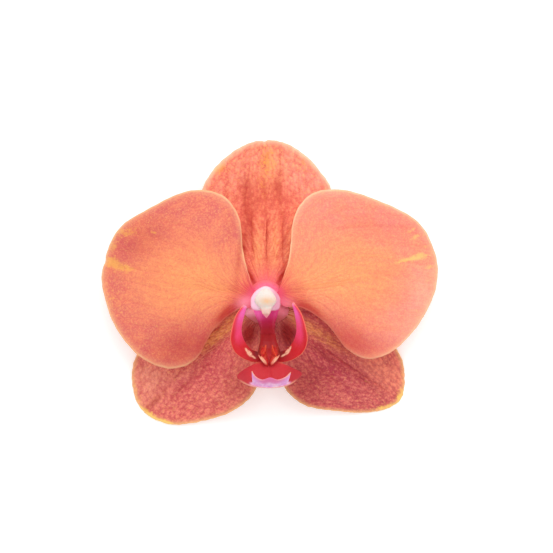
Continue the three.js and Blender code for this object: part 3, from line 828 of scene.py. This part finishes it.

# The form of each sepal and petal, and where its colours lie, in the bloom's millimetres. Patches of colour,
# of painted shade and of painted light are (x, y, half length, half width, tilt in degrees, strength),
# creases (x, y, x, y, half width, depth) and nicks (x, y, half width, share).
PATCH_MARKS = ("gold", "dusk", "glow", "flush", "pink")
SEPAL = {
    "slot": "sepal", "level": 0, "lift": 4, "drop": SEPAL_DROP, "droop": 1.6, "half_width": 14, "ruffle": 0.5,
    "waves": 3, "roll": 0, "roll_side": 1, "thick": SEPAL_THICK, "nicks": (), "pink": (), "blush_reach": 6,
    "veins": 9, "pebble": (0.62, 1.0), "pebble_height": 0.24, "pucker": 5.0,
}
PETAL = {
    "slot": "petal", "level": PETAL_LEVEL, "lift": 9, "drop": 4, "droop": 2.6, "half_width": 21,
    "ruffle": 0.6, "waves": 4, "roll": 1.2, "thick": PETAL_THICK, "nicks": (), "creases": (), "flush": (),
    "veins": 14, "pebble": (0.6, 0.7), "pebble_height": 0.06, "pucker": 7.0,
}
BLADES = {
    "dorsal_sepal_blade": SEPAL | {
        "node": "sepal_dorsal", "look": DORSAL_LOOK, "tissue": "petal tissue, coral",
        "outline": DORSAL_OUTLINE, "middle": (0, 20), "root": (0, 1), "tip": (0, 38.2),
        "droop": 2.6, "half_width": 16, "blush_reach": 6.4, "nicks": ((-0.5, 38.2, 0.6, 0.014),),
        "pebble": (0.7, 1.2), "pebble_height": 0.24,
        "gold": (
            (0.5, 33.2, 4.5, 2.4, 90, 0.75), (-11.5, 31.3, 2, 1.4, 40, 1.1), (10, 33, 2.5, 2, -40, 0.6),
            (-1.0, 26, 4, 1.2, 86, 0.4), (-1.6, 14, 6, 0.8, 88, 0.3), (2.1, 14, 6, 0.8, 91, 0.35),
        ),
        # painted shade under the petals' edges at the root, and along the creases
        "dusk": (
            (-3.7, 5.6, 2.4, 0.6, 122, 1.1), (3.6, 5.4, 2.4, 0.6, 62, 1.1), (-5.4, 27.0, 3.6, 1.5, 75, 0.3),
            (2.6, 27.0, 3.4, 1.1, 85, 0.3), (-4.6, 19, 4.5, 1.3, 88, 0.45), (-5.4, 12, 6, 1.0, 76, 0.55),
            (4.2, 14, 7, 0.6, 88, 0.35), (0.2, 15, 6, 0.35, 90, 0.5), (-1.5, 25, 4, 5, 90, 0.3),
        ),
        "glow": (
            (2.0, 11.5, 7, 1.3, 88, 1.0), (-1.8, 11, 7, 1.3, 90, 1.0), (5.4, 14, 6, 0.9, 84, 0.6),
            (1.0, 31, 5, 3, 90, 0.5),
        ),
        "creases": (
            (-3.6, 22, -3.1, 9, 0.45, 0.3), (-4.9, 30, -4.2, 18, 1.2, 0.14), (0.2, 20, 0.1, 7, 0.4, 0.24),
            (2.6, 31, 3.2, 21, 1.0, 0.1), (3.9, 22, 3.9, 8, 0.4, 0.24),
        ),
        # painted light on the dorsal sepal's upper right
        "flush": ((11, 29, 4, 4, 0, 0.5),),
    },
    "left_lateral_sepal_blade": SEPAL | {
        "node": "sepal_lateral_left", "look": LEFT_LATERAL_LOOK, "tissue": "petal tissue, rose",
        "outline": LEFT_LATERAL_OUTLINE, "middle": (-17, -15), "root": (-0.8, -1.6), "tip": (-28.6, -27.4),
        "gold": (
            (-28.9, -27.0, 2.8, 0.9, -36, 2.0), (-24.6, -29.0, 3.5, 0.6, -14, 1.3),
            (-31.4, -21, 4, 0.7, -80, 0.6),
        ),
        # painted shade beside the lip and column, and under the petal's edge
        "dusk": (
            (-4.0, -8, 4, 2.4, 75, 1.1), (-14, -12.5, 6, 1.0, 44, 0.25), (-6, -20, 4, 4, 0, 0.35),
            (-26.6, -24.6, 2.2, 0.6, 42, 0.4),
        ),
        "glow": (
            (-11.4, -8.1, 6, 1.4, 45, 1.4), (-6.5, -4.6, 4, 1.4, 40, 0.8), (-21, -16.6, 5, 2, 10, 0.25),
        ),
        "creases": (
            (-29.4, -27.1, -24.8, -22.0, 0.7, 0.2), (-27, -25, -15, -10, 0.6, 0.14),
            (-24, -24.5, -10, -12, 0.7, 0.14),
        ),
        # painted light on the sepal's outer part
        "flush": ((-28.5, -19.0, 4.5, 6.0, 0, 1.1), (-20, -18, 4, 2.4, 20, 0.3)),
    },
    "right_lateral_sepal_blade": SEPAL | {
        "node": "sepal_lateral_right", "look": RIGHT_LATERAL_LOOK, "tissue": "petal tissue, brick",
        "outline": RIGHT_LATERAL_OUTLINE, "middle": (18, -15), "root": (0.8, -1.6), "tip": (31.6, -23.6),
        "waves": 4,
        "gold": (
            (32.2, -23.0, 2.4, 0.9, 66, 1.3), (28.5, -25.6, 3, 0.7, 12, 1.0), (32.5, -17, 4, 0.5, 80, 0.4),
        ),
        # painted shade beside the lip and column, and under the petal's edge
        "dusk": ((5.0, -8, 4, 2.4, -75, 1.1), (13, -12.5, 8, 0.9, -37, 0.4), (9, -19, 6, 6, 0, 0.5)),
        "glow": ((12.4, -7.9, 7, 1.4, -34, 1.3), (7, -4.4, 4, 1.4, -36, 0.8)),
        "creases": (
            (9, -8.4, 32, -23.8, 0.4, 0.22), (9.6, -10.2, 29, -22.8, 0.35, 0.14),
            (7, -12, 20, -22, 0.8, 0.14),
        ),
        # painted light on the sepal's outer part
        "flush": ((27.5, -16.2, 8, 3.4, -36, 1.0), (30.5, -19, 3, 3, 0, 0.4)),
    },
    "left_petal_blade": PETAL | {
        "node": "petal_left", "look": LEFT_PETAL_LOOK, "tissue": "petal tissue, orange",
        "outline": LEFT_PETAL_OUTLINE, "middle": (-20, 6), "root": (-1.5, 1), "tip": (-39, 5),
        "roll_side": 1, "blush_reach": 7.4, "nicks": ((-38.6, 9.4, 1.0, 0.016),),
        "gold": (
            (-34.5, 7.9, 4.6, 1.1, -16, 1.1), (-36.4, 9.4, 1.6, 1.4, 0, 0.8), (-33.2, 16.0, 3.0, 1.2, 6, 0.9),
            (-26.6, 16.0, 0.9, 0.3, -10, 1.4), (-36.4, 12.8, 1.4, 1.4, 0, 0.9), (-36.5, 0, 2.6, 6, 0, 0.35),
        ),
        # painted shade, mostly along the lower margin, which turns down away from the light
        "dusk": (
            (-12.0, -8.0, 8, 1.6, 58, 0.8), (-19, -11, 9, 5, 12, 0.65), (-30, 14, 8, 4, 30, 0.38),
            (-8, 19, 6, 2, 80, 0.15), (-8.5, -2.4, 4, 1.2, 34, 0.8), (-6.2, 12, 9, 0.7, 84, 0.5),
        ),
        "glow": ((-17, 4, 12, 7, 0, 1.0),),
        "pink": ((-4.8, -0.5, 2.2, 1.4, 15, 0.8),),
    },
    "right_petal_blade": PETAL | {
        "node": "petal_right", "look": RIGHT_PETAL_LOOK, "tissue": "petal tissue, peach",
        "outline": RIGHT_PETAL_OUTLINE, "middle": (21, 6), "root": (1.5, 1), "tip": (40.8, 7),
        "roll_side": -1, "blush_reach": 7.2,
        "gold": (
            (36.2, 10.3, 2.4, 1.0, 16, 1.2), (32.6, 9.4, 2.2, 0.4, 12, 0.9), (35.8, 15.0, 2.0, 0.7, 24, 0.9),
            (34.6, 16.6, 1.4, 0.4, 30, 0.8), (38.8, 7.8, 1.1, 0.5, 8, 0.9), (38.4, 4.6, 1.2, 0.4, 24, 0.8),
            (37.8, 12.6, 0.9, 0.4, 20, 0.7), (25, 7.4, 8, 0.35, 12, 0.4),
        ),
        # painted shade, mostly along the lower margin, which turns down away from the light
        "dusk": (
            (13, -5.2, 8, 1.7, -50, 0.8), (19.5, -8.5, 7, 3.5, -50, 0.6), (8.5, -1.6, 4, 1.2, -25, 0.8),
            (25, -11, 7, 4, 0, 0.35), (24, 18, 10, 3, -8, 0.2),
        ),
        "glow": ((18, 5, 13, 7, 8, 1.0),),
        # painted light on the petal's outer edge and lower lobe
        "flush": ((37.5, 1.5, 3.5, 7, 0, 0.6), (33, -7, 5, 4, 0, 0.3)),
        "pink": ((4.8, -0.6, 2.0, 1.2, -15, 0.5),),
    },
}


def tepals():
    """The five broad blades, with their relief and tissue."""
    relief = tissue_relief()
    for name, shape in BLADES.items():
        piece = dressed(blade(name, shape), relief, **{
            "Vein Count": float(shape["veins"]),
            "Vein Depth": VEIN_DEPTH * MM,
            "Pebble Width": shape["pebble"][0],
            "Pebble Length": shape["pebble"][1],
            "Pebble Height": shape["pebble_height"] * MM,
            "Pucker Size": shape["pucker"] * MM,
            "Pucker Height": PUCKER_HEIGHT * MM,
            "Tissue": petal_tissue(shape["tissue"], shape["look"]),
        })
        stands_for(piece, shape["node"], shape["slot"])


# Lip

def lean(y):
    """How far the foot and the lip have swung to the right at a given Y."""
    return LIP_MIDLINE * ease((-1 - y) / 12)


def ring_xz(y, wide, middle, half, hollow=0.0):
    """A ring across the foot or the lip's claw."""
    ring = []
    for across, up in circle(FOOT_SIDES):
        dip = hollow * bell(across / 0.45) if up > 0 else 0
        ring.append(Vector((lean(y) + wide * across, y, middle + half * up - dip)))
    return ring


def ribbon(front, back, thick, belly, sides):
    """A fleshy strip between two rails, and each corner's place on it: along, and across from -1 to 1."""
    shift = Vector((LIP_MIDLINE, 0, 0))
    rings = []
    where = []
    for k in range(RIBBON_STEPS + 1):
        s = k / RIBBON_STEPS
        fore = on_line(front, s)
        aft = on_line(back, s)
        centre = (fore + aft) / 2
        chord = fore - centre
        normal = (heading(front, s) + heading(back, s)).cross(chord).normalized()
        ring = []
        for across, up in circle(sides):
            out = belly * chord.length * (1 - across * across) + thick / 2 * up
            ring.append(shift + centre + chord * across + normal * out)
            where.append((s, across))
        rings.append(ring)
    return (*loft(rings), where)


def side_lobe(side, tip_rise, tip_width):
    outer = ((1.6, -14.9, 5.6), (4.8, -14.4, 7.2), (7.8, -12.6, 8.9), (9.05, -9.7, 9.9), (8.6, -6.4, 10.3),
             (7.5, -3.4, 10.1), (5.75, -1.1, 9.6))
    inner = ((1.6, -12.4, 4.4), (4.0, -11.7, 4.9), (5.6, -9.9, 5.7), (6.4, -7.7, 6.7), (6.4, -5.7, 7.7),
             (6.0, -3.5, 8.6), (5.5, -1.5, 9.3))
    rails = [[(side * (x - wide * ease(k / 3 - 1)), y + tip_rise * ease(k / 3 - 1), z)
              for k, (x, y, z) in enumerate(rail)]
             for rail, wide in ((outer, -tip_width), (inner, tip_width))]
    return ribbon(*rails, LOBE_THICK, 0.2 * side, 28)


def apron():
    edge = ((-4.1, -16.5, 12.6), (-3.2, -17.9, 12.4), (-1.6, -18.7, 12.3), (0.3, -18.2, 12.5),
            (2.1, -18.7, 12.3), (4.0, -18.0, 12.4), (5.2, -16.8, 12.6))
    fold = ((-3.9, -19.6, 10.6), (-2.6, -20.1, 10.5), (-1.2, -20.3, 10.4), (0.0, -20.4, 10.4),
            (1.4, -20.3, 10.4), (3.0, -20.1, 10.5), (4.5, -19.5, 10.6))
    return ribbon(edge, fold, APRON_THICK, -0.1, 20)


def midlobe():
    """The lip's middle lobe: a thick blade that slopes forward, with raised wings and a grooved midline."""
    tops = []
    feet = []
    where = []
    for _, _, reach, turn in disc(MIDLOBE_CELLS):
        edge = on_line(MIDLOBE_OUTLINE, turn, closed=True)
        x = edge.x * reach
        y = mix(-17.8, edge.y, reach)
        z = 5.4 + 0.8 * (-14.0 - y) + 0.03 * x * x - 0.3 * bell(x / 0.5)
        half = mix(0.42, 0.2, reach ** 4) * Vector((-0.06 * x, 0.8, 1)).normalized()
        tops.append(Vector((x + LIP_MIDLINE, y, z)) + half)
        feet.append(Vector((x + LIP_MIDLINE, y, z)) - half)
        where.append((reach, x))
    return tops + feet, leaf_skin(MIDLOBE_CELLS), where * 2


def claw():
    corners, faces = lofted(ring_xz, (
        (FOOT_END + 0.3, 1.85, 2.5, 1.1, 0.2), (-9.0, 1.9, 2.55, 1.05, 0.3), (-9.8, 2.0, 2.7, 1.0, 0.4),
        (-11.4, 2.5, 3.4, 1.0, 0.5), (-13.0, 2.9, 4.4, 1.0, 0.4), (-14.6, 2.8, 5.4, 0.8),
        (-15.6, 2.2, 6.1, 0.5),
    ))
    return corners, faces, [(0, 0)] * len(corners)


def ridge(side, path, sizes, tall):
    """A tapering ridge beside the lip's midline."""
    path = [(side * x, y, z) for x, y, z in path]
    rings = []
    where = []
    for k in range(RIDGE_STEPS + 1):
        t = k / RIDGE_STEPS
        centre = on_line(path, t) + Vector((LIP_MIDLINE, 0, 0))
        size = on_line([(size, 0) for size in sizes], t).x
        ring = []
        for across, up in circle(RIDGE_SIDES):
            ring.append(centre + Vector((size * across, 0, tall * size * up)))
            where.append((t, side * across))
        rings.append(ring)
    return (*loft(rings), where)


# The callus: plump halves beside the groove, which end in small points over the midlobe, thin pale wings that
# flare out from those points, and slender spikes over the claw. Each is given as its path, its sizes along
# that, and how tall it is for its width.
CALLUS = {
    "half": (
        ((1.4, -11.2, 4.0), (1.4, -12.4, 5.2), (1.05, -13.8, 6.3), (0.7, -14.9, 7.0), (0.5, -15.6, 7.3)),
        (0.35, 0.7, 0.8, 0.6, 0.2), 1.15,
    ),
    "wing": (
        ((2.5, -12.9, 6.4), (1.9, -13.7, 7.1), (1.2, -14.6, 7.7), (0.6, -15.3, 8.0)),
        (0.14, 0.3, 0.3, 0.16), 1.3,
    ),
    "spike": (
        ((1.7, -13.6, 6.6), (1.15, -12.4, 7.2), (0.85, -11.4, 7.7), (0.74, -10.5, 8.1)),
        (0.3, 0.34, 0.24, 0.12), 1.15,
    ),
}


def nearness(shell):
    """Makes a function that says how near a place is to a skin, and where on it the nearest corner lies."""
    corners, faces, where = shell
    finder = BVHTree.FromPolygons(corners, faces)

    def near(place):
        spot, _, face, distance = finder.find_nearest(place)
        nearest = min(faces[face], key=lambda i: (corners[i] - spot).length_squared)
        return (bell(distance / MARK_REACH), *where[nearest])

    return near


# Cream patches on the side lobes' lower inner edges, given as the blades' patches are
CREAM_PATCHES = (
    (-4.6, -11.8, 0.6, 0.24, -60, 1.2), (-3.9, -12.6, 0.8, 0.44, -50, 1.3),
    (-3.0, -13.4, 0.8, 0.26, -35, 0.8), (5.7, -11.4, 0.6, 0.2, 62, 1.2), (5.1, -12.2, 0.8, 0.38, 52, 1.3),
    (4.2, -13.0, 0.8, 0.26, 30, 0.8),
)


def lip_marks(place, finders):
    """The numbers that the lip's flesh reads at a place, given what finds how near each of its parts is."""
    near = {part: find(place) for part, find in finders.items()}
    lobe, rise, across = max(near["lobe", -1], near["lobe", 1])
    half, _, _ = max(near["half", -1], near["half", 1])
    wing, wing_along, _ = max(near["wing", -1], near["wing", 1])
    spike, spike_along, _ = max(near["spike", -1], near["spike", 1])
    flap, flap_along, flap_across = near["apron"]
    middle, middle_reach, middle_x = near["midlobe"]
    clawed = near["claw"][0]
    lobe *= 1 - ease(3 * max(half, wing, spike) - 1.6)
    beside = bell(math.hypot((abs(place.x - LIP_MIDLINE) - 2.9) / 1.1, (place.y + 12.2) / 1.7))
    patches = max(patch(place, spot) for spot in CREAM_PATCHES)
    wing_cream = ease(4 * wing - 2.6) * bell((wing_along - 0.45) / 0.4)
    spiked = ease(4 * spike - 2.4) * mix(0.6, 1, spike_along)
    flap *= ease((place.z - 10.4) / 0.5)
    centred = bell((flap_along - 0.5) / 0.3)
    fade = flap * centred * ease((flap_across + 0.7) / 1.5)
    lower = middle * ease((-19.5 - place.y) / 0.8) * bell((place.x - LIP_MIDLINE) / 5)
    horn_hem = flap * (1 - centred) * ease((flap_across - 0.72) / 0.2)
    wing_hem = middle * ease((middle_reach - 0.95) / 0.05) * ease((-18.4 - place.y) / 1) * 0.5
    return {
        "lobe": lobe, "rise": rise, "across": across, "middle": middle, "fade": fade,
        # painted shade in the gaps beside the callus
        "pit": max(clawed, lobe) * beside,
        "gloom": max(clawed * ease((place.y + 14.5) / 3), half * 0.6) * (1 - middle),
        "cream": min(1, max(ease(1.7 * patches * lobe - 0.25), wing_cream)),
        "orange": max(spiked, 0.3 * half * (1 - middle)),
        "apron": max(flap * (1 - fade), lower),
        "pale": max(flap, lower) * ease(0.3 - flap_across),
        "hem": max(horn_hem, wing_hem),
        "wing": middle * ease((abs(middle_x) - 3.4) / 3),
    }


def lip():
    """The lip: claw, side lobes, callus and midlobe with its turned-up apron, grown as one."""
    shells = {"claw": claw(), "midlobe": midlobe(), "apron": apron()}
    for side, tip_rise, tip_width in ((-1, 0.0, 0.3), (1, 0.6, 0.0)):
        shells["lobe", side] = side_lobe(side, tip_rise, tip_width)
        for part, form in CALLUS.items():
            shells[part, side] = ridge(side, *form)
    finders = {part: nearness(shell) for part, shell in shells.items()}
    piece = grown_together("lip_flesh", [shell[:2] for shell in shells.values()], LIP_VOXEL, 4)
    fleshed(piece, "waxy lip flesh", "#CE1A24", lambda p: lip_marks(p, finders), lip_coats, 0.4, 0.06, 0.12)
    stands_for(piece, "lip", "lip")


# Column, anther cap and pollinarium

def ring_xy(z, a, b, c, corner=1.0, notch=0.0, peak=1.0):
    """A ring across the column: peaked above and squarer below, as its powers say, and notched below."""
    ring = []
    for across, up in circle(SHAFT_SIDES):
        power = corner if up < 0 else peak
        x = a * math.copysign(abs(across) ** power, across)
        y = (-c if up < 0 else b) * abs(up) ** power
        cut = notch * bell(x / 1.5) if up < 0 else 0
        ring.append(Vector((x - 0.1, y, z - cut)))
    return ring


def column_marks(p):
    """The numbers that the column's flesh reads at a place."""
    under_hood = ease((p.z - 7.0) / 0.6)
    below = mix(ease((-1.2 - p.y) / 1.0), ease((-2.3 - p.y) / 0.3), under_hood)
    front = ease((p.z + 1) / 2)
    low = ease((2.9 - p.z) / 0.6)
    high = ease((p.z - 5.5) / 2)
    outward = ease((math.hypot(p.x, p.y + 2.2) - 3.8) / 1.5) * ease((-1.2 - p.y) / 0.8)
    return {
        "collar": front * ease((4.6 - p.z) / 2.4) * ease((p.y + 2.6) / 1.5),
        "brim": ease((math.hypot(p.x, p.y) - 3.7) / 1.1) * ease((p.y - 1.0) / 1.5),
        "shoulder": low * ease((-0.6 - p.y) / 0.8),
        "root": low * max(ease((-2.6 - p.y) / 2.0), 0.45 * outward),
        # painted light, lighter to the left
        "bright": ease((0.6 - p.x) / 2.4) * below * (1 - low),
        # painted shade, darker to the right
        "shade": ease((p.x - 0.4) / 2.0),
        "deep": ease((-2.9 - p.y) / 2.6) * front * 0.9 * (1 - low),
        "dark": ease((-4.8 - p.y) / 2.5) * front * 0.9,
        "pale": (1 - below) * mix(0.4, 1, high) * ease((p.y + 3.5) / 2),
        "hood": (1 - below) * high * bell(p.x / 2.6),
    }


def column():
    """The column: its round base, hooded shaft and the foot that reaches down to the lip, grown as one."""
    r = DRUM_RADIUS
    shaft = lofted(ring_xy, (
        (DRUM_BACK, 2.7, 2.7, 2.7), (-1.6, r, r, r), (-0.3, r + 0.3, r + 0.3, r + 0.2), (0.2, 4.6, 4.8, 3.6),
        (1.0, 4.1, 4.3, 3.6), (1.9, 3.5, 3.7, 3.5), (2.8, 3.1, 3.1, 3.2), (4.2, 2.9, 2.8, 2.9, 0.85),
        (6.2, 3.0, 2.9, 2.4, 0.65, 0, 1.1), (7.5, 3.5, 3.3, 2.35, 0.5, 0, 1.2),
        (8.0, 3.52, 3.3, 2.5, 0.45, 0.1, 1.2), (8.6, 3.52, 3.25, 2.5, 0.42, 0.3, 1.25),
        (9.0, 3.45, 3.2, 2.52, 0.4, 0.6, 1.25), (HOOD_FRONT, 3.15, 3.0, 2.3, 0.4, 0.8, 1.25),
        (HOOD_FRONT + 0.12, 2.8, 2.75, 2.0, 0.5, 0.8, 1.2), (HOOD_FRONT + 0.15, 2.2, 2.2, 1.5, 0.6),
    ))
    foot = lofted(ring_xz, (
        (0.5, 2.4, 4.0, 2.8), (-2.0, 3.1, 4.3, 3.0), (-3.8, 2.6, 3.6, 2.6, 0.9), (-5.4, 2.0, 3.0, 2.0, 0.6),
        (-6.9, 1.75, 2.6, 1.5, 0.3), (FOOT_END, 1.85, 2.5, 1.2, 0.2),
    ))
    shoulders = lofted(ring_xz, (
        (-0.2, 3.4, 0.7, 1.3), (-1.3, 5.0, 0.6, 1.6), (-2.3, 5.5, 0.5, 1.6), (-3.4, 5.2, 0.4, 1.4),
        (-4.4, 4.2, 0.3, 1.1), (-5.4, 2.6, 0.2, 0.7),
    ))
    piece = grown_together("column_flesh", [shaft, foot, shoulders], COLUMN_VOXEL, 5)
    fleshed(piece, "waxy column flesh", "#DC3A80", column_marks, column_coats, 0.36, 0.08, 0.15)
    stands_for(piece, "column", "column")


def bead(centre, radii, around=40, down=24):
    """An egg shape, with its corners and faces."""
    corners = []
    for k in range(1, down):
        height = math.pi * k / down
        for across, up in circle(around):
            p = (math.sin(height) * across, math.sin(height) * up, math.cos(height))
            corners.append(Vector(tuple(c + r * v for c, r, v in zip(centre, radii, p))))
    rings = [corners[k * around:(k + 1) * around] for k in range(down - 1)]
    return loft(rings[::-1])


def cap_marks(p):
    """The numbers that the cap's tissue reads at a place."""
    return {
        "peach": bell(math.hypot((p.x - 0.3) / 1.8, (p.y + 0.2) / 0.9)) * ease((p.z - 8.8) / 0.8),
        "point": ease((-1.4 - p.y) / 1.4),
        "tip": ease((-3.0 - p.y) / 1.0),
        "side": ease((math.hypot(p.x + 0.4, p.y - 0.5) - 1.5) / 1.4) * ease((p.y + 1.2) / 1.2) * 0.8,
    }


def anther_cap():
    """The anther cap: a peaked two-cheeked dome with a beak."""
    dome = lofted(ring_xy, (
        (8.6, 2.2, 2.35, 1.2, 1, 0, 1.2), (9.1, 2.6, 2.8, 1.8, 1, 0, 1.25),
        (9.5, 2.6, 2.85, 1.95, 1, 0, 1.25), (9.9, 2.3, 2.5, 1.8, 1, 0, 1.2),
        (10.25, 1.75, 1.85, 1.45, 1, 0, 1.1), (10.5, 1.0, 1.1, 0.9), (10.6, 0.4, 0.45, 0.4),
    ))
    beak = lofted(ring_xz, (
        (0.4, 2.1, 9.2, 0.95), (-0.7, 2.05, 9.35, 0.85), (-1.6, 1.6, 9.4, 0.75), (-2.3, 1.2, 9.4, 0.6),
        (-2.9, 1.05, 9.3, 0.42), (-3.3, 0.9, 9.15, 0.26),
    ))
    cheeks = [bead((0.95 * side - 0.1, -0.05, 9.5), (1.1, 1.15, 0.95)) for side in (-1, 1)]
    piece = grown_together("anther_cap_dome", [dome, beak, *cheeks], CAP_VOXEL, 8)
    fleshed(piece, "waxy cap tissue", "#E9DDD5", cap_marks, cap_coats, 0.34, 0.12, 0.3)
    stands_for(piece, "anther_cap", "anther_cap")


def pollen_marks(p):
    """The numbers that the pollinarium's wax reads at a place."""
    return {"gum": ease((-0.5 - p.y) / 1.0), "point": ease((-3.1 - p.y) / 0.9)}


def pollinarium():
    """Two waxy pollinia on a strap that ends in a sticky lozenge."""
    strap = lofted(ring_xz, [(y, 0.28, 8.6, 0.13) for y in (1.1, -1.0, -2.7)])
    halves = [bead((0.62 * side, 0.75, 8.95), (0.56, 0.78, 0.48), 24, 14) for side in (-1, 1)]
    lozenge = lofted(ring_xz, (
        (-2.3, 0.5, 8.75, 0.16), (-2.9, 1.02, 8.8, 0.2), (-3.3, 0.8, 8.75, 0.2), (-4.2, 0.12, 8.65, 0.1),
    ))
    piece = grown_together("pollinia_and_strap", [strap, lozenge, *halves], POLLEN_VOXEL, 4)
    fleshed(piece, "pollen wax", "#F6D58A", pollen_marks, wax_coats, 0.3, 0.2, 0.2)
    stands_for(piece, "pollinarium", "pollen_wax")


def pedicel():
    """The picked stalk behind the bloom."""
    route = ((0, 0, DRUM_BACK + 0.4), (0, -0.3, -4.0), (0, -2.4, -6.3), (0, -6.6, -7.5), (0, -12.0, -8.0),
             (0, -17.4, -8.15))
    steps = 60
    path = bpy.data.curves.new("pedicel_path", "CURVE")
    path.dimensions = "3D"
    spline = path.splines.new("POLY")
    spline.points.add(steps)
    for k in range(steps + 1):
        spline.points[k].co = (*placed(on_line(route, k / steps)), 1)
    skin = waxy_flesh("fleshy stalk skin", "#BDBB6A", ("along",), stalk_coats, 0.4, 0.1, 0.15)
    piece = dressed(put_object("pedicel_stalk", path), ribbed_stalk(), Skin=skin)
    stands_for(piece, "pedicel", "stalk")


# Stage, light and camera

def studio():
    """A pale table that glows a little, a bright even sky and a large soft lamp past the dorsal sepal."""
    corners = [(TABLE_HALF * x, TABLE_HALF * y, 0) for x, y in ((-1, -1), (1, -1), (1, 1), (-1, 1))]
    floor = mesh_piece("table", corners, [(0, 1, 2, 3)], place=Vector)
    material, put = bare_material("opal glass, lit from below")
    place = put("TexCoord", out="Object")
    grain = put("TexNoise", {"Vector": place, "Scale": 300.0})
    rough = put("MapRange", {"Value": grain, 1: 0.3, 2: 0.7, 3: 0.75, 4: 0.85})
    shader = put("BsdfPrincipled", {
        "Base Color": colour("#F7F7F6"), "Roughness": rough, "Specular IOR Level": 0.2,
        "Emission Strength": TABLE_GLOW, "Emission Color": (1, 1, 1, 1),
    })
    put("OutputMaterial", {"Surface": shader})
    floor.data.materials.append(material)
    world = bpy.data.worlds.new("studio")
    world.use_nodes = True
    sky = world.node_tree.nodes["Background"].inputs
    sky["Color"].default_value = (1, 1, 1, 1)
    sky["Strength"].default_value = SKY_STRENGTH
    bpy.context.scene.world = world
    lamp = bpy.data.lights.new("softbox", "AREA")
    lamp.energy = LAMP_POWER
    lamp.size = LAMP_WIDTH
    softbox = put_object("softbox", lamp)
    softbox.location = LAMP_AT
    softbox.rotation_euler = (-softbox.location).to_track_quat("-Z", "Y").to_euler()


def photograph():
    """The photograph's view: straight down the bloom's axis through a long lens."""
    width = VIEW_PIXELS * PIXEL * MM
    camera_data = bpy.data.cameras.new("camera")
    camera_data.lens = camera_data.sensor_width * CAMERA_AWAY / width
    camera_data.clip_start = 0.1
    camera_data.clip_end = 20
    camera = put_object("camera", camera_data)
    centre = placed(VIEW_CENTRE)
    camera.location = (centre.x, centre.y, CAMERA_AWAY + FACE_LEVEL)
    bpy.context.scene.camera = camera


photograph()
studio()
tepals()
lip()
column()
anther_cap()
pollinarium()
pedicel()
bpy.context.scene.view_settings.view_transform = "Standard"
